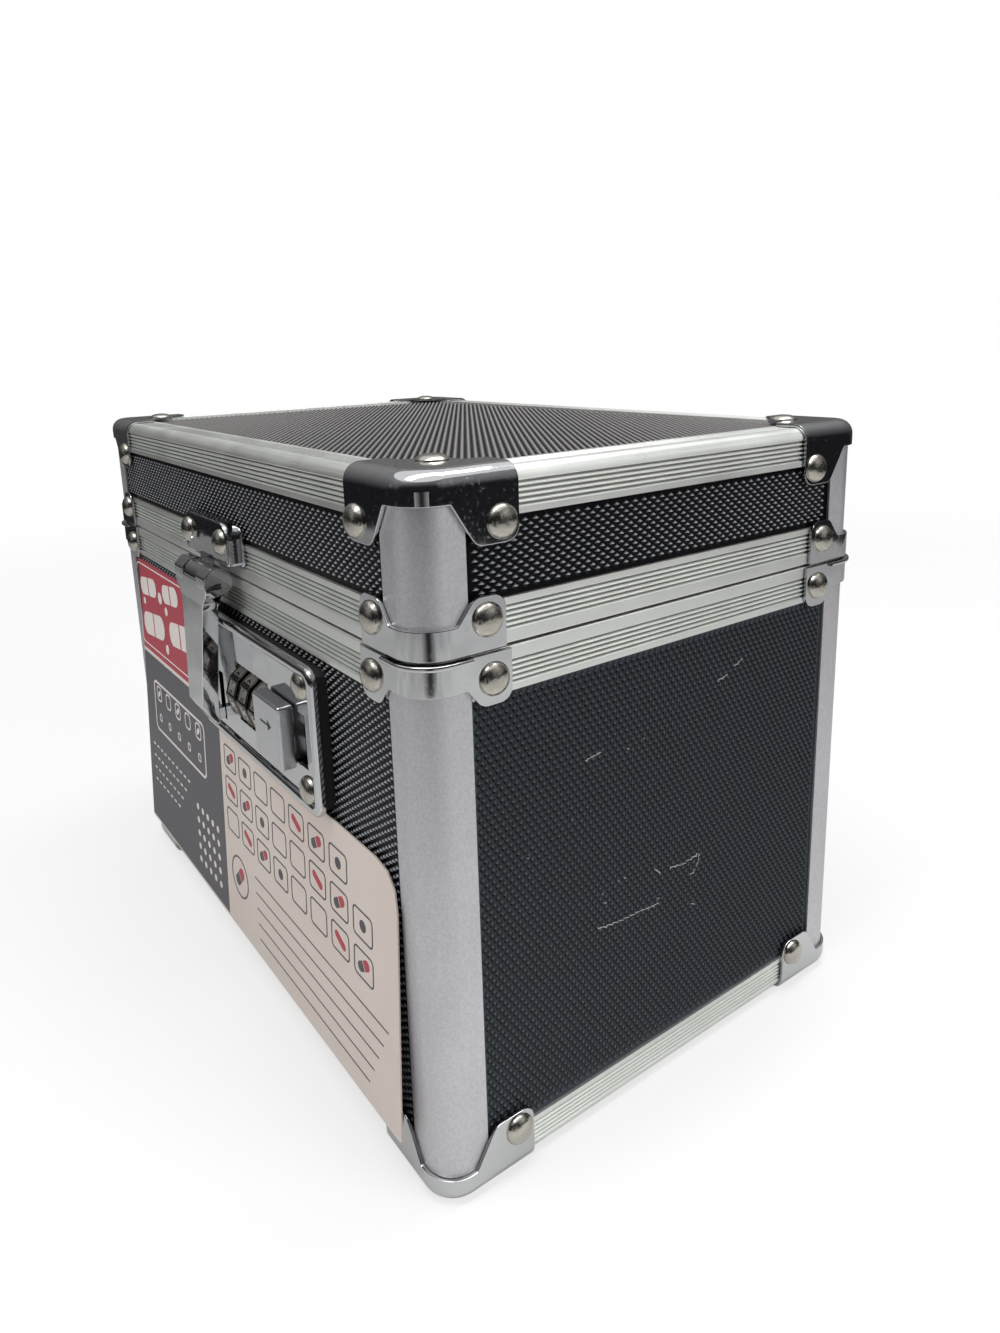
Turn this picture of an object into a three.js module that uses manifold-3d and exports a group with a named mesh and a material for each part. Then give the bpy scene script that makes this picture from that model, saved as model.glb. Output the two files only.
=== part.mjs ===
// Medication lock box: black textured boards in ridged aluminium rails, with pressed corner caps,
// a hinged lid and a combination latch. Millimetres, +Z up, the front faces -Y.
// The origin is the middle of the whole outline seen from above, on the ground.
import * as THREE from 'three';
import { mergeVertices } from 'three/addons/utils/BufferGeometryUtils.js';
import Module from 'manifold-3d';

const wasm = await Module();
wasm.setup();

// Case, measured over the faces of the rails
const boxWidth = 219;
const boxDepth = 145;
const seamHeight = 131.4;
const lidHeight = 37.4;
const seamGap = 0.6;
const wallThickness = 3.2;
const fitGap = 0.1;

// Aluminium rails and corner posts
const railWall = 0.9;
const railHeight = 10;
const railFlange = 10.4;
const railEdgeRadius = 3;
const rimLipHeight = 7;
const rimEdgeRadius = 0.4;
const cornerRadius = 7.5;
const postFlange = 12.5;
const ridgeCount = 4;
const ridgePitch = 1.15;
const ridgeStart = 2.5;
const grooveWidth = 0.6;
const grooveDepth = 0.3;
const plateLap = 1;
const plateInset = 0.05;

// Distance that a cutting shape reaches past what it cuts
const cutPast = 1;

// Pressed corner caps and their rivets
const capWall = 0.9;
const rivetRadius = 3.8;
const rivetHeight = 2;
const edgeCap = {
  tabLength: 25.2, tabHeight: 15.2, bandHeight: 6, notch: 8.6, slopeEnd: 14.4,
  rivetAlong: 20.8, rivetAcross: 10.7, flapWidth: 9.5, lobe: 19, flapRivet: 13.4, lip: 0,
};
const lidRimCap = {
  tabLength: 21.2, tabHeight: 11.7, bandHeight: 6.4, notch: 9.2, slopeEnd: 13.4,
  rivetAlong: 16.4, rivetAcross: 6.6, lip: 0.5,
};
const bodyRimCap = {
  tabLength: 22.4, tabHeight: 11.5, bandHeight: 7, notch: 11, slopeEnd: 14.4,
  rivetAlong: 17.6, rivetAcross: 5.8, lip: 0.9,
};
const lipHeight = 1.2;
const slopeRadius = 2.2;
const notchRadius = 0.8;
const flapRadius = 2;
const flapSlope = 1;
const lobeRadius = 5;

// Linings
const liningThickness = 1.5;

// Butt hinges at the back
const hingeInset = 44.5;
const hingeWidth = 28;
const hingeLeafHeight = 9.2;
const hingeLeafWall = 1;
const hingeBarrelRadius = 2.2;
const hingePinRadius = 1;
const hingeStandOff = 2.9;
const knuckleWidth = 9;
const knuckleGap = 0.3;
const hingeRivetRadius = 2.2;
const hingeRivetSpacing = 18;
const hingeRivetHeight = 1;
const hingeRivetShare = 0.62;

// Lock plate on the front
const lockDrop = 32.5;
const plateLeft = -16;
const plateRight = 66.4;
const plateBelow = 18.3;
const plateAbove = 20.5;
const plateRadius = 4;
const plateFront = 3.3;
const plateRim = 1.8;
const plateRimHeight = 0.7;
const plateRivetInset = 5.6;
const plateRivetEnd = 7.4;
const plateRivetLeftEnd = 5.6;
const gasketInset = 1.2;
const gasketFront = 2.3;
const windowRadius = 0.6;

// Dials
const dialRadius = 9;
const dialWidth = 6.6;
const dialPitch = 8.2;
const dialMiddle = 25.4;
const dialAxisDepth = 1.8;
const dialGrooveDepth = 0.6;
const dialPlaces = 10;
const dialFlatShares = [-0.4, -0.14, 0.14, 0.4];
const dialWindowInset = 0.4;
const axleRadius = 1.5;
const axleClearance = 0.15;
const lugWidth = 1.7;
const lugHeight = 7;
const lugWall = 2.1;

// Release button with its slide, spring and bolt
const buttonWidth = 16.4;
const buttonHeight = 17;
const buttonFront = 8;
const buttonBevel = 0.8;
const buttonRadius = 1;
const buttonTravel = 5;
const buttonGap = 0.5;
const neckInset = 1.6;
const slideThickness = 3.6;
const slideOverlap = 1.4;
const springRadius = 1.3;
const wireRadius = 0.3;
const springTurns = 5;
const springPocket = 8.6;
const pocketCover = 0.4;
const arrowTail = 3.4;
const arrowTip = 3.6;
const arrowNeck = 1.2;
const arrowHalfShaft = 0.4;
const arrowHalfHead = 1.6;
const arrowDepth = 0.4;
const boltHeight = 2.2;
const boltThickness = 1.4;

// Cover behind the lock, inside the case
const coverWall = 1.2;
const coverLap = 2.4;
const coverClearance = 0.6;

// Hasp and its bracket on the lid
const haspAxisOut = 5.6;
const haspAxisDrop = 0.6;
const haspBarrelRadius = 4;
const haspHeadWidth = 26;
const haspNotch = 11.6;
const haspShoulder = 17.6;
const haspTipWidth = 11.5;
const haspThickness = 4.9;
const haspTopOut = 9.5;
const haspTipOut = 11.4;
const haspTipBevel = 6.7;
const haspShoulderDrop = 3;
const haspShoulderRadius = 2;
const haspHeadLift = 0.5;
const haspHeadRadius = 1.5;
const haspToe = [0.8, 0.6];
const haspHeel = [1.6, 1];
const haspBrowInset = 0.2;
const haspPinRadius = 1.2;
const stapleWidth = 2.6;
const stapleHeight = 3.4;
const stapleDepth = 2.8;
const bracketWidth = 35.2;
const bracketFront = 4;
const bracketRise = 16.8;
const bracketRadius = 5;
const bracketFlange = 3.3;
const bracketFlangeWall = 0.9;
const bracketFlangeRadius = 2;
const bracketFootRadius = 1;
const bracketRivetSpacing = 26.6;
const bracketRivetDrop = 5.6;
const pivotGap = 0.1;
const clearance = 0.3;

// Printed card, standing on the rivets of the lower caps and leaning against the front
const cardThickness = 0.4;
const cardLeftMargin = 8.5;
const cardTopLeftMargin = 15.1;
const cardRightMargin = 12.5;
const cardPlateMargin = 4;
const cardTopDrop = 2.6;
const cardBottom = 11.4;
const cardCornerRadius = 9.6;
const cardSmallRadius = 1;
const cardStepRadius = 0.5;
const cardFootOut = 3.2;
const cardShelfOut = 0.3;
const cardTopOut = -0.8;

// Levels and depths that follow from the sizes above
const capGap = fitGap;
const floorLift = capWall + capGap;
const topPlane = seamHeight + lidHeight;
const bodyRimPlane = seamHeight - seamGap / 2;
const lidRimPlane = seamHeight + seamGap / 2;
const wallOuter = railWall + fitGap;
const wallInner = wallOuter + wallThickness;
const lipOuter = wallInner + fitGap;
const panelStack = wallInner + fitGap;
const bodyWallBottom = floorLift + panelStack;
const bodyWallTop = bodyRimPlane - railWall - fitGap;
const lidWallBottom = lidRimPlane + railWall + fitGap;
const lidWallTop = topPlane - panelStack;
const wallEnd = cornerRadius - grooveWidth;
const frontPlane = -boxDepth / 2;
const postEnd = postFlange + fitGap;

// Lock places that follow from the sizes above
const lockMiddle = seamHeight - lockDrop;
const plateBottom = lockMiddle - plateBelow;
const plateTop = lockMiddle + plateAbove;
const plateBack = gasketFront + fitGap;
const dialStackWidth = 2 * dialPitch + dialWidth;
const dialWindowWidth = dialStackWidth + 2 * clearance;
const dialWindowHeight = 2 * dialRadius - dialWindowInset;
const buttonLeft = dialMiddle + dialWindowWidth / 2 + buttonGap;
const neckLeft = buttonLeft + neckInset;
const neckWidth = buttonWidth - neckInset;
const neckHeight = buttonHeight - 2 * neckInset;
const buttonWindowLeft = neckLeft - clearance;
const buttonWindowRight = neckLeft + neckWidth + buttonTravel + 2 * clearance;
const boltTop = lockMiddle - dialWindowHeight / 2 - 2 * clearance;
const boltBottom = boltTop - boltHeight;
const boltFront = plateBack - 2 * fitGap;
const boltBack = boltFront - boltThickness;
const boltLeft = stapleWidth / 2 + clearance + fitGap;
const slideLeft = neckLeft - clearance;
const slideRight = neckLeft + neckWidth + slideOverlap;
const slideTop = lockMiddle + neckHeight / 2 + slideOverlap;
const slideFront = boltBack - clearance;
const stopLeft = slideRight + buttonTravel + 4 * clearance;
const cutLeft = dialMiddle - dialWindowWidth / 2 - lugWidth - 2 * clearance;
const cutRight = stopLeft + lugWidth;
const cutBottom = boltBottom - 2 * clearance;
const cutTop = Math.max(slideTop, lockMiddle + dialRadius) + 2 * clearance;
const stapleBottom = boltBottom - 2 * clearance;
const stapleInnerEnd = plateFront - stapleDepth;
const haspAxisHeight = seamHeight - haspAxisDrop;
const haspTip = stapleBottom - fitGap;
const haspFaceBottom = haspTip + haspTipBevel;
const bracketTop = haspAxisHeight + bracketRise;
const cardLeft = cardLeftMargin - boxWidth / 2;
const cardTopLeft = cardTopLeftMargin - boxWidth / 2;
const cardRight = boxWidth / 2 - cardRightMargin;
const cardStep = plateLeft - cardPlateMargin;
const cardShelf = plateBottom - clearance;
const cardTop = bodyRimPlane - railHeight - cardTopDrop;

const satinAluminium = { color: 0xb4b8b9, roughness: 0.38, metalness: 1 };
const chrome = { color: 0xc9cbcc, roughness: 0.12, metalness: 1 };
const texturedBoard = { color: 0x1c1b1e, roughness: 0.55, metalness: 0 };
const blackRubber = { color: 0x111113, roughness: 0.7, metalness: 0 };
const foam = { color: 0x232326, roughness: 0.95, metalness: 0 };
const springSteel = { color: 0x9a9a9c, roughness: 0.3, metalness: 1 };
const printedCard = { color: 0xc4bab2, roughness: 0.5, metalness: 0 };

// Solids

function toSolid(geometry) {
  const bare = geometry.clone();
  bare.deleteAttribute('normal');
  bare.deleteAttribute('uv');
  const merged = mergeVertices(bare, 1e-4);
  const vertProperties = new Float32Array(merged.attributes.position.array);
  const triVerts = new Uint32Array(merged.index.array);
  return new wasm.Manifold(new wasm.Mesh({ numProp: 3, vertProperties, triVerts }));
}

function toGeometry(solid) {
  const mesh = solid.getMesh();
  const geometry = new THREE.BufferGeometry();
  geometry.setAttribute('position', new THREE.BufferAttribute(new Float32Array(mesh.vertProperties), 3));
  geometry.setIndex(new THREE.BufferAttribute(new Uint32Array(mesh.triVerts), 1));
  geometry.computeVertexNormals();
  return geometry;
}

function join(geometries) {
  const solids = geometries.map(toSolid);
  return toGeometry(solids.reduce((sum, next) => sum.add(next)));
}

function cut(geometry, tools) {
  const body = toSolid(geometry);
  return toGeometry(tools.map(toSolid).reduce((rest, tool) => rest.subtract(tool), body));
}

function overlap(first, second) {
  return toGeometry(toSolid(first).intersect(toSolid(second)));
}

function block(x0, x1, y0, y1, z0, z1) {
  const geometry = new THREE.BoxGeometry(x1 - x0, y1 - y0, z1 - z0);
  geometry.translate((x0 + x1) / 2, (y0 + y1) / 2, (z0 + z1) / 2);
  return geometry;
}

function rodAlongX(radius, x0, x1, y, z, sides = 16) {
  const geometry = new THREE.CylinderGeometry(radius, radius, x1 - x0, sides);
  geometry.rotateZ(Math.PI / 2);
  geometry.translate((x0 + x1) / 2, y, z);
  return geometry;
}

// Points of an outline without the doubles that arcs leave where they start.
function sparePoints(points) {
  const isNew = (point, index) => index === 0 || point.distanceTo(points[index - 1]) > 1e-6;
  const kept = points.filter(isNew);
  if (kept[0].distanceTo(kept[kept.length - 1]) < 1e-6) kept.pop();
  return kept;
}

function plainShape(shape, curveSegments) {
  const { shape: rim, holes } = shape.extractPoints(curveSegments);
  const plain = new THREE.Shape(sparePoints(rim));
  plain.holes = holes.map((hole) => new THREE.Path(sparePoints(hole)));
  return plain;
}

function extrude(shape, depth, curveSegments = 3) {
  return new THREE.ExtrudeGeometry(plainShape(shape, curveSegments), { depth, bevelEnabled: false });
}

// Outline through corner points given as [x, y, corner radius], rounded at each corner.
function outline(points) {
  const shape = new THREE.Shape();
  points.forEach(([x, y, radius = 0], index) => {
    const corner = new THREE.Vector2(x, y);
    const before = points[(index + points.length - 1) % points.length];
    const after = points[(index + 1) % points.length];
    const back = new THREE.Vector2(before[0], before[1]).sub(corner).normalize();
    const ahead = new THREE.Vector2(after[0], after[1]).sub(corner).normalize();
    const halfAngle = Math.acos(THREE.MathUtils.clamp(back.dot(ahead), -1, 1)) / 2;
    const run = radius / Math.tan(halfAngle);
    const start = back.multiplyScalar(run).add(corner);
    const end = ahead.multiplyScalar(run).add(corner);
    if (index === 0) shape.moveTo(start.x, start.y);
    else shape.lineTo(start.x, start.y);
    if (radius > 0) shape.quadraticCurveTo(x, y, end.x, end.y);
  });
  return shape;
}

function rectangle(x0, x1, y0, y1, radius = 0) {
  return outline([[x0, y0, radius], [x1, y0, radius], [x1, y1, radius], [x0, y1, radius]]);
}

// Slab with rounded upright corners and a rounded lower edge, standing on z = 0.
function roundedSlab(width, depth, radius, edge, height) {
  const shape = new THREE.Shape();
  const x = width / 2;
  const y = depth / 2;
  shape.moveTo(x, y - radius);
  shape.absarc(x - radius, y - radius, radius, 0, Math.PI / 2);
  shape.absarc(radius - x, y - radius, radius, Math.PI / 2, Math.PI);
  shape.absarc(radius - x, radius - y, radius, Math.PI, 1.5 * Math.PI);
  shape.absarc(x - radius, radius - y, radius, 1.5 * Math.PI, 2 * Math.PI);
  const geometry = new THREE.ExtrudeGeometry(plainShape(shape, 3), {
    depth: height, bevelEnabled: edge > 0, bevelThickness: edge, bevelSize: edge,
    bevelOffset: -edge, bevelSegments: 3,
  });
  geometry.translate(0, 0, edge);
  return geometry;
}

// Shape drawn in x and z on the front, standing out between two distances from the rails' plane.
function onFront(shape, from, to, curveSegments = 3) {
  const geometry = extrude(shape, to - from, curveSegments);
  geometry.rotateX(Math.PI / 2);
  geometry.translate(0, frontPlane - from, 0);
  return geometry;
}

// Box on the front given by x, distance out and z.
function frontBlock(x0, x1, from, to, z0, z1) {
  return block(x0, x1, frontPlane - to, frontPlane - from, z0, z1);
}

// Section drawn as distance out and z, extruded along x over the front.
function alongFront(shape, x0, x1, curveSegments = 3) {
  const geometry = extrude(shape, x1 - x0, curveSegments);
  geometry.applyMatrix4(new THREE.Matrix4().set(
    0, 0, -1, x1,
    -1, 0, 0, frontPlane,
    0, 1, 0, 0,
    0, 0, 0, 1,
  ));
  return geometry;
}

// Domed rivet head, standing on z = 0 and sunk a little into the sheet under it.
function rivetHead(radius, height, sides = 12) {
  const sink = capWall / 2;
  const profile = [new THREE.Vector2(0, -sink), new THREE.Vector2(radius, -sink)];
  for (let step = 0; step < 3; step += 1) {
    const angle = (step / 3) * (Math.PI / 2);
    profile.push(new THREE.Vector2(radius * Math.cos(angle), height * Math.sin(angle)));
  }
  profile.push(new THREE.Vector2(0, height));
  const geometry = new THREE.LatheGeometry(profile, sides);
  geometry.rotateX(Math.PI / 2);
  return geometry;
}

function rivetOnFront(radius, height, x, out, z) {
  const geometry = rivetHead(radius, height);
  geometry.rotateX(Math.PI / 2);
  geometry.translate(x, frontPlane - out, z);
  return geometry;
}

const root = new THREE.Group();
const lid = new THREE.Group();
const haspGroup = new THREE.Group();
lid.add(haspGroup);
root.add(lid);

function addMesh(parent, name, geometry, look) {
  const mesh = new THREE.Mesh(geometry, new THREE.MeshStandardMaterial(look));
  mesh.name = name;
  parent.add(mesh);
  return mesh;
}

// Rails

const corners = [
  { name: 'front_left', x: -boxWidth / 2, y: -boxDepth / 2, quarter: 0 },
  { name: 'front_right', x: boxWidth / 2, y: -boxDepth / 2, quarter: 1 },
  { name: 'back_right', x: boxWidth / 2, y: boxDepth / 2, quarter: 2 },
  { name: 'back_left', x: -boxWidth / 2, y: boxDepth / 2, quarter: 3 },
];

// Grooves that leave the ridges standing, as [distance from the free edge of the flange, depth].
function groovePoints() {
  const points = [];
  for (let groove = 0; groove <= ridgeCount; groove += 1) {
    const middle = ridgeStart + (groove - 0.5) * ridgePitch;
    points.push([middle - grooveWidth / 2, 0], [middle, grooveDepth], [middle + grooveWidth / 2, 0]);
  }
  return points;
}

// Angle section as distance in from the side face and distance in from the level face.
function angleSection() {
  const shape = new THREE.Shape();
  const r = railEdgeRadius;
  const inner = r - railWall;
  shape.moveTo(r, 0);
  for (const share of [1 / 3, 2 / 3, 1]) {
    const turn = share * Math.PI / 2;
    shape.lineTo(r - r * Math.sin(turn), r - r * Math.cos(turn));
  }
  groovePoints().reverse().forEach(([along, deep]) => shape.lineTo(deep, railHeight - along));
  shape.lineTo(0, railHeight);
  shape.lineTo(railWall, railHeight);
  shape.lineTo(railWall, r);
  shape.absarc(r, r, inner, Math.PI, 1.5 * Math.PI, false);
  shape.lineTo(railFlange, railWall);
  shape.lineTo(railFlange, 0);
  groovePoints().forEach(([along, deep]) => shape.lineTo(railFlange - along, deep));
  return shape;
}

// Channel section that caps the open edge of a wall, with a short lip inside.
function channelSection() {
  const lipInner = lipOuter + railWall;
  const shape = new THREE.Shape();
  shape.moveTo(rimEdgeRadius, 0);
  shape.lineTo(0, rimEdgeRadius);
  groovePoints().reverse().forEach(([along, deep]) => shape.lineTo(deep, railHeight - along));
  shape.lineTo(0, railHeight);
  shape.lineTo(railWall, railHeight);
  shape.lineTo(railWall, railWall);
  shape.lineTo(lipOuter, railWall);
  shape.lineTo(lipOuter, rimLipHeight);
  shape.lineTo(lipInner, rimLipHeight);
  shape.lineTo(lipInner, 0);
  return shape;
}

// One length of rail with its level face at z = 0, on the side of the case turned by quarter turns.
function railLength(section, length, reach, quarter) {
  const geometry = extrude(section, length);
  geometry.applyMatrix4(new THREE.Matrix4().set(
    0, 0, 1, -length / 2,
    1, 0, 0, -reach,
    0, 1, 0, 0,
    0, 0, 0, 1,
  ));
  geometry.rotateZ(quarter * Math.PI / 2);
  return geometry;
}

// Level plate that joins two lengths at a corner, drawn with the corner at x = y = 0.
function cornerPlate(levelWidth, edge) {
  const reach = postEnd + plateLap;
  const width = levelWidth - plateInset;
  const low = grooveDepth + plateInset;
  const shape = outline([
    [-plateLap, -plateLap], [reach, -plateLap], [reach, width],
    [width, width], [width, reach], [-plateLap, reach],
  ]);
  const plate = extrude(shape, railWall - plateInset - low);
  plate.translate(0, 0, low);
  return overlap(plate, grownCorner(-plateInset, edge, 2 * reach));
}

// Four lengths between the corner posts, joined at the corners by their level faces.
function railFrame(section, levelWidth, edge) {
  const pieces = [0, 1, 2, 3].map((quarter) => (quarter % 2 === 0
    ? railLength(section, boxWidth - 2 * postEnd, boxDepth / 2, quarter)
    : railLength(section, boxDepth - 2 * postEnd, boxWidth / 2, quarter)));
  for (const corner of corners) {
    const plate = cornerPlate(levelWidth, edge);
    plate.rotateZ(corner.quarter * Math.PI / 2);
    plate.translate(corner.x, corner.y, 0);
    pieces.push(plate);
  }
  return join(pieces);
}

const edgeRail = railFrame(angleSection(), railFlange, railEdgeRadius);
const rimRail = railFrame(channelSection(), lipOuter + railWall, 0);
const upsideDown = new THREE.Quaternion().setFromAxisAngle(new THREE.Vector3(1, 0, 0), Math.PI);

const baseFrame = addMesh(root, 'base_frame', edgeRail, satinAluminium);
baseFrame.position.z = floorLift;

const bodyRim = addMesh(root, 'body_rim_frame', rimRail, satinAluminium);
bodyRim.quaternion.copy(upsideDown);
bodyRim.position.z = bodyRimPlane;

const lidRim = addMesh(lid, 'lid_rim_frame', rimRail, satinAluminium);
lidRim.position.z = lidRimPlane;

const topFrame = addMesh(lid, 'top_frame', edgeRail, satinAluminium);
topFrame.quaternion.copy(upsideDown);
topFrame.position.z = topPlane;

// Corners: pieces drawn with the corner of the case at x = y = 0 and the case towards +x and +y

const cornerFlip = new THREE.Quaternion().setFromAxisAngle(
  new THREE.Vector3(1, 1, 0).normalize(), Math.PI);

function addAtCorners(parent, prefix, geometry, look, z, flipped) {
  for (const corner of corners) {
    const mesh = addMesh(parent, `${prefix}_${corner.name}`, geometry, look);
    const turn = new THREE.Quaternion().setFromAxisAngle(
      new THREE.Vector3(0, 0, 1), corner.quarter * Math.PI / 2);
    mesh.quaternion.copy(flipped ? turn.multiply(cornerFlip) : turn);
    mesh.position.set(corner.x, corner.y, z);
  }
}

// Post: a rounded angle with a square core that the ends of the wall panels meet.
function postSection() {
  const shape = new THREE.Shape();
  const inner = cornerRadius - railWall;
  const reach = Math.asin((cornerRadius - wallInner) / inner);
  shape.moveTo(postFlange, 0);
  shape.lineTo(cornerRadius, 0);
  shape.absarc(cornerRadius, cornerRadius, cornerRadius, -Math.PI / 2, -Math.PI, true);
  shape.lineTo(0, postFlange);
  shape.lineTo(railWall, postFlange);
  shape.lineTo(railWall, cornerRadius);
  shape.absarc(cornerRadius, cornerRadius, inner, Math.PI, Math.PI + reach, false);
  shape.lineTo(wallInner, wallInner);
  shape.absarc(cornerRadius, cornerRadius, inner, -Math.PI / 2 - reach, -Math.PI / 2, false);
  shape.lineTo(postFlange, railWall);
  return shape;
}

addAtCorners(root, 'body_post', extrude(postSection(), bodyWallTop - bodyWallBottom),
  satinAluminium, bodyWallBottom, false);
addAtCorners(lid, 'lid_post', extrude(postSection(), lidWallTop - lidWallBottom),
  satinAluminium, lidWallBottom, false);

// Solid corner of the case grown by a distance, rounded like the rails.
function grownCorner(grow, edge, size) {
  const geometry = roundedSlab(size + 2 * grow, size + 2 * grow, cornerRadius + grow,
    edge > 0 ? edge + grow : 0, size);
  geometry.translate(size / 2, size / 2, edge > 0 ? -grow : -size / 2);
  return geometry;
}

// Tab on one wall, as a prism through the sheet: along the wall, then up from the level face.
function tabPrism(cap, base) {
  const shape = outline([
    [cap.notch - fitGap, base],
    [cap.tabLength, base],
    [cap.tabLength, cap.tabHeight, rivetRadius],
    [cap.slopeEnd, cap.tabHeight, slopeRadius],
    [cap.notch, cap.bandHeight, notchRadius],
    [cap.notch - fitGap, cap.bandHeight],
  ]);
  const geometry = extrude(shape, 4 * capWall);
  geometry.rotateX(Math.PI / 2);
  geometry.translate(0, 2 * capWall, 0);
  return geometry;
}

// The same piece on the other wall of the corner: x and y change places, and so do two corners of
// each triangle, so that the faces still point out.
function acrossCorner(geometry) {
  const other = geometry.index ? geometry.toNonIndexed() : geometry.clone();
  const { position } = other.attributes;
  const points = [];
  for (let index = 0; index < position.count; index += 1) {
    points.push([position.getY(index), position.getX(index), position.getZ(index)]);
  }
  points.forEach((point, index) => {
    const place = [0, 2, 1][index % 3] - (index % 3);
    position.setXYZ(index + place, ...point);
  });
  return other;
}

// Pressed cap around a corner. With a level face at the case's end it has a flap with its own rivet.
function cornerCap(cap, edge, withFlapRivet) {
  const size = 2 * cap.tabLength;
  const base = edge > 0 ? -2 * capWall : 0;
  const sheet = cut(grownCorner(capGap + capWall, edge, size), [grownCorner(capGap, edge, size)]);
  const tab = tabPrism(cap, base);
  const otherTab = acrossCorner(tab);
  const band = block(-2 * capWall, cap.notch, -2 * capWall, cap.notch, base, cap.bandHeight);
  const masks = [tab, otherTab, band];
  if (edge > 0) {
    const flap = outline([
      [-2 * capWall, -2 * capWall],
      [cap.tabLength, -2 * capWall],
      [cap.tabLength, cap.flapWidth, flapRadius],
      [cap.lobe, cap.flapWidth + flapSlope, flapRadius],
      [cap.lobe, cap.lobe, lobeRadius],
      [cap.flapWidth + flapSlope, cap.lobe, flapRadius],
      [cap.flapWidth, cap.tabLength, flapRadius],
      [-2 * capWall, cap.tabLength],
    ]);
    const flapMask = extrude(flap, 4 * capWall);
    flapMask.translate(0, 0, -2 * capWall);
    masks.push(flapMask);
  }
  const pieces = [overlap(sheet, join(masks))];
  if (cap.lip > 0) pieces.push(capLip(cap));
  const faceOut = capGap + capWall;
  const rivet = rivetHead(rivetRadius, rivetHeight);
  rivet.rotateX(Math.PI / 2);
  rivet.translate(cap.rivetAlong, -faceOut, cap.rivetAcross);
  const otherRivet = rivetHead(rivetRadius, rivetHeight);
  otherRivet.rotateY(-Math.PI / 2);
  otherRivet.translate(-faceOut, cap.rivetAlong, cap.rivetAcross);
  pieces.push(rivet, otherRivet);
  if (withFlapRivet) {
    const flapRivet = rivetHead(rivetRadius, rivetHeight);
    flapRivet.rotateX(Math.PI);
    flapRivet.translate(cap.flapRivet, cap.flapRivet, -faceOut);
    pieces.push(flapRivet);
  }
  return join(pieces);
}

// Lip turned outwards along the seam, across the round of the corner.
function capLip(cap) {
  const size = 2 * cap.tabLength;
  const sheet = cut(grownCorner(capGap + capWall + cap.lip, 0, size), [grownCorner(capGap, 0, size)]);
  const reach = cap.notch + lipHeight;
  return overlap(sheet, block(-4 * capWall, reach, -4 * capWall, reach, 0, lipHeight));
}

addAtCorners(root, 'base_cap', cornerCap(edgeCap, railEdgeRadius, false), chrome, floorLift, false);
addAtCorners(root, 'body_rim_cap', cornerCap(bodyRimCap, 0, false), chrome, bodyRimPlane, true);
addAtCorners(lid, 'lid_rim_cap', cornerCap(lidRimCap, 0, false), chrome, lidRimPlane, false);
addAtCorners(lid, 'top_cap', cornerCap(edgeCap, railEdgeRadius, true), chrome, topPlane, true);

// Panels

// Board under a level frame, with its outer face at z = 0 and its edge rounded inside the rail.
function levelPanel() {
  const width = boxWidth - 2 * wallOuter;
  const depth = boxDepth - 2 * wallOuter;
  const rounded = roundedSlab(width, depth, cornerRadius - wallOuter, railEdgeRadius - wallOuter,
    2 * wallThickness);
  return overlap(rounded, block(-width, width, -depth, depth, -cutPast, wallThickness));
}

function wallPanels(parent, prefix, low, high, frontCut) {
  const x = boxWidth / 2;
  const y = boxDepth / 2;
  const front = block(wallEnd - x, x - wallEnd, wallOuter - y, wallInner - y, low, high);
  addMesh(parent, `${prefix}_front_panel`, frontCut ? cut(front, [frontCut]) : front, texturedBoard);
  addMesh(parent, `${prefix}_back_panel`,
    block(wallEnd - x, x - wallEnd, y - wallInner, y - wallOuter, low, high), texturedBoard);
  addMesh(parent, `${prefix}_left_panel`,
    block(wallOuter - x, wallInner - x, wallEnd - y, y - wallEnd, low, high), texturedBoard);
  addMesh(parent, `${prefix}_right_panel`,
    block(x - wallInner, x - wallOuter, wallEnd - y, y - wallEnd, low, high), texturedBoard);
}

const lockCut = frontBlock(cutLeft, cutRight, -wallInner - cutPast, gasketFront + cutPast,
  cutBottom, cutTop);
const basePanel = addMesh(root, 'base_panel', levelPanel(), texturedBoard);
basePanel.position.z = floorLift + wallOuter;
wallPanels(root, 'body', bodyWallBottom, bodyWallTop, lockCut);
const topPanel = addMesh(lid, 'top_panel', levelPanel(), texturedBoard);
topPanel.quaternion.copy(upsideDown);
topPanel.position.z = topPlane - wallOuter;
wallPanels(lid, 'lid', lidWallBottom, lidWallTop, null);

// Linings

const coverLeft = cutLeft - coverLap;
const coverRight = cutRight + coverLap;
const coverBottom = cutBottom - coverLap;
const coverTop = cutTop + coverLap;
const coverInnerDepth = dialAxisDepth + dialRadius + coverClearance;
const coverDepth = coverInnerDepth + coverWall;

function lining(low, high, opensUp) {
  const x = boxWidth / 2 - lipOuter;
  const y = boxDepth / 2 - lipOuter;
  const t = liningThickness;
  const outer = block(-x, x, -y, y, low, high);
  const inner = opensUp
    ? block(t - x, x - t, t - y, y - t, low + t, high + t)
    : block(t - x, x - t, t - y, y - t, low - t, high - t);
  return cut(outer, [inner]);
}

const bodyLiningTop = bodyRimPlane - rimLipHeight - fitGap;
const lidLiningBottom = lidRimPlane + rimLipHeight + fitGap;
const coverSpace = frontBlock(coverLeft - clearance, coverRight + clearance,
  -coverDepth - clearance, 0, coverBottom - clearance, coverTop + clearance);
addMesh(root, 'body_lining', cut(lining(bodyWallBottom, bodyLiningTop, true), [coverSpace]), foam);
addMesh(lid, 'lid_lining', lining(lidLiningBottom, lidWallTop, false), foam);

// Hinges

const hingeAxisY = boxDepth / 2 + hingeStandOff;

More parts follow.
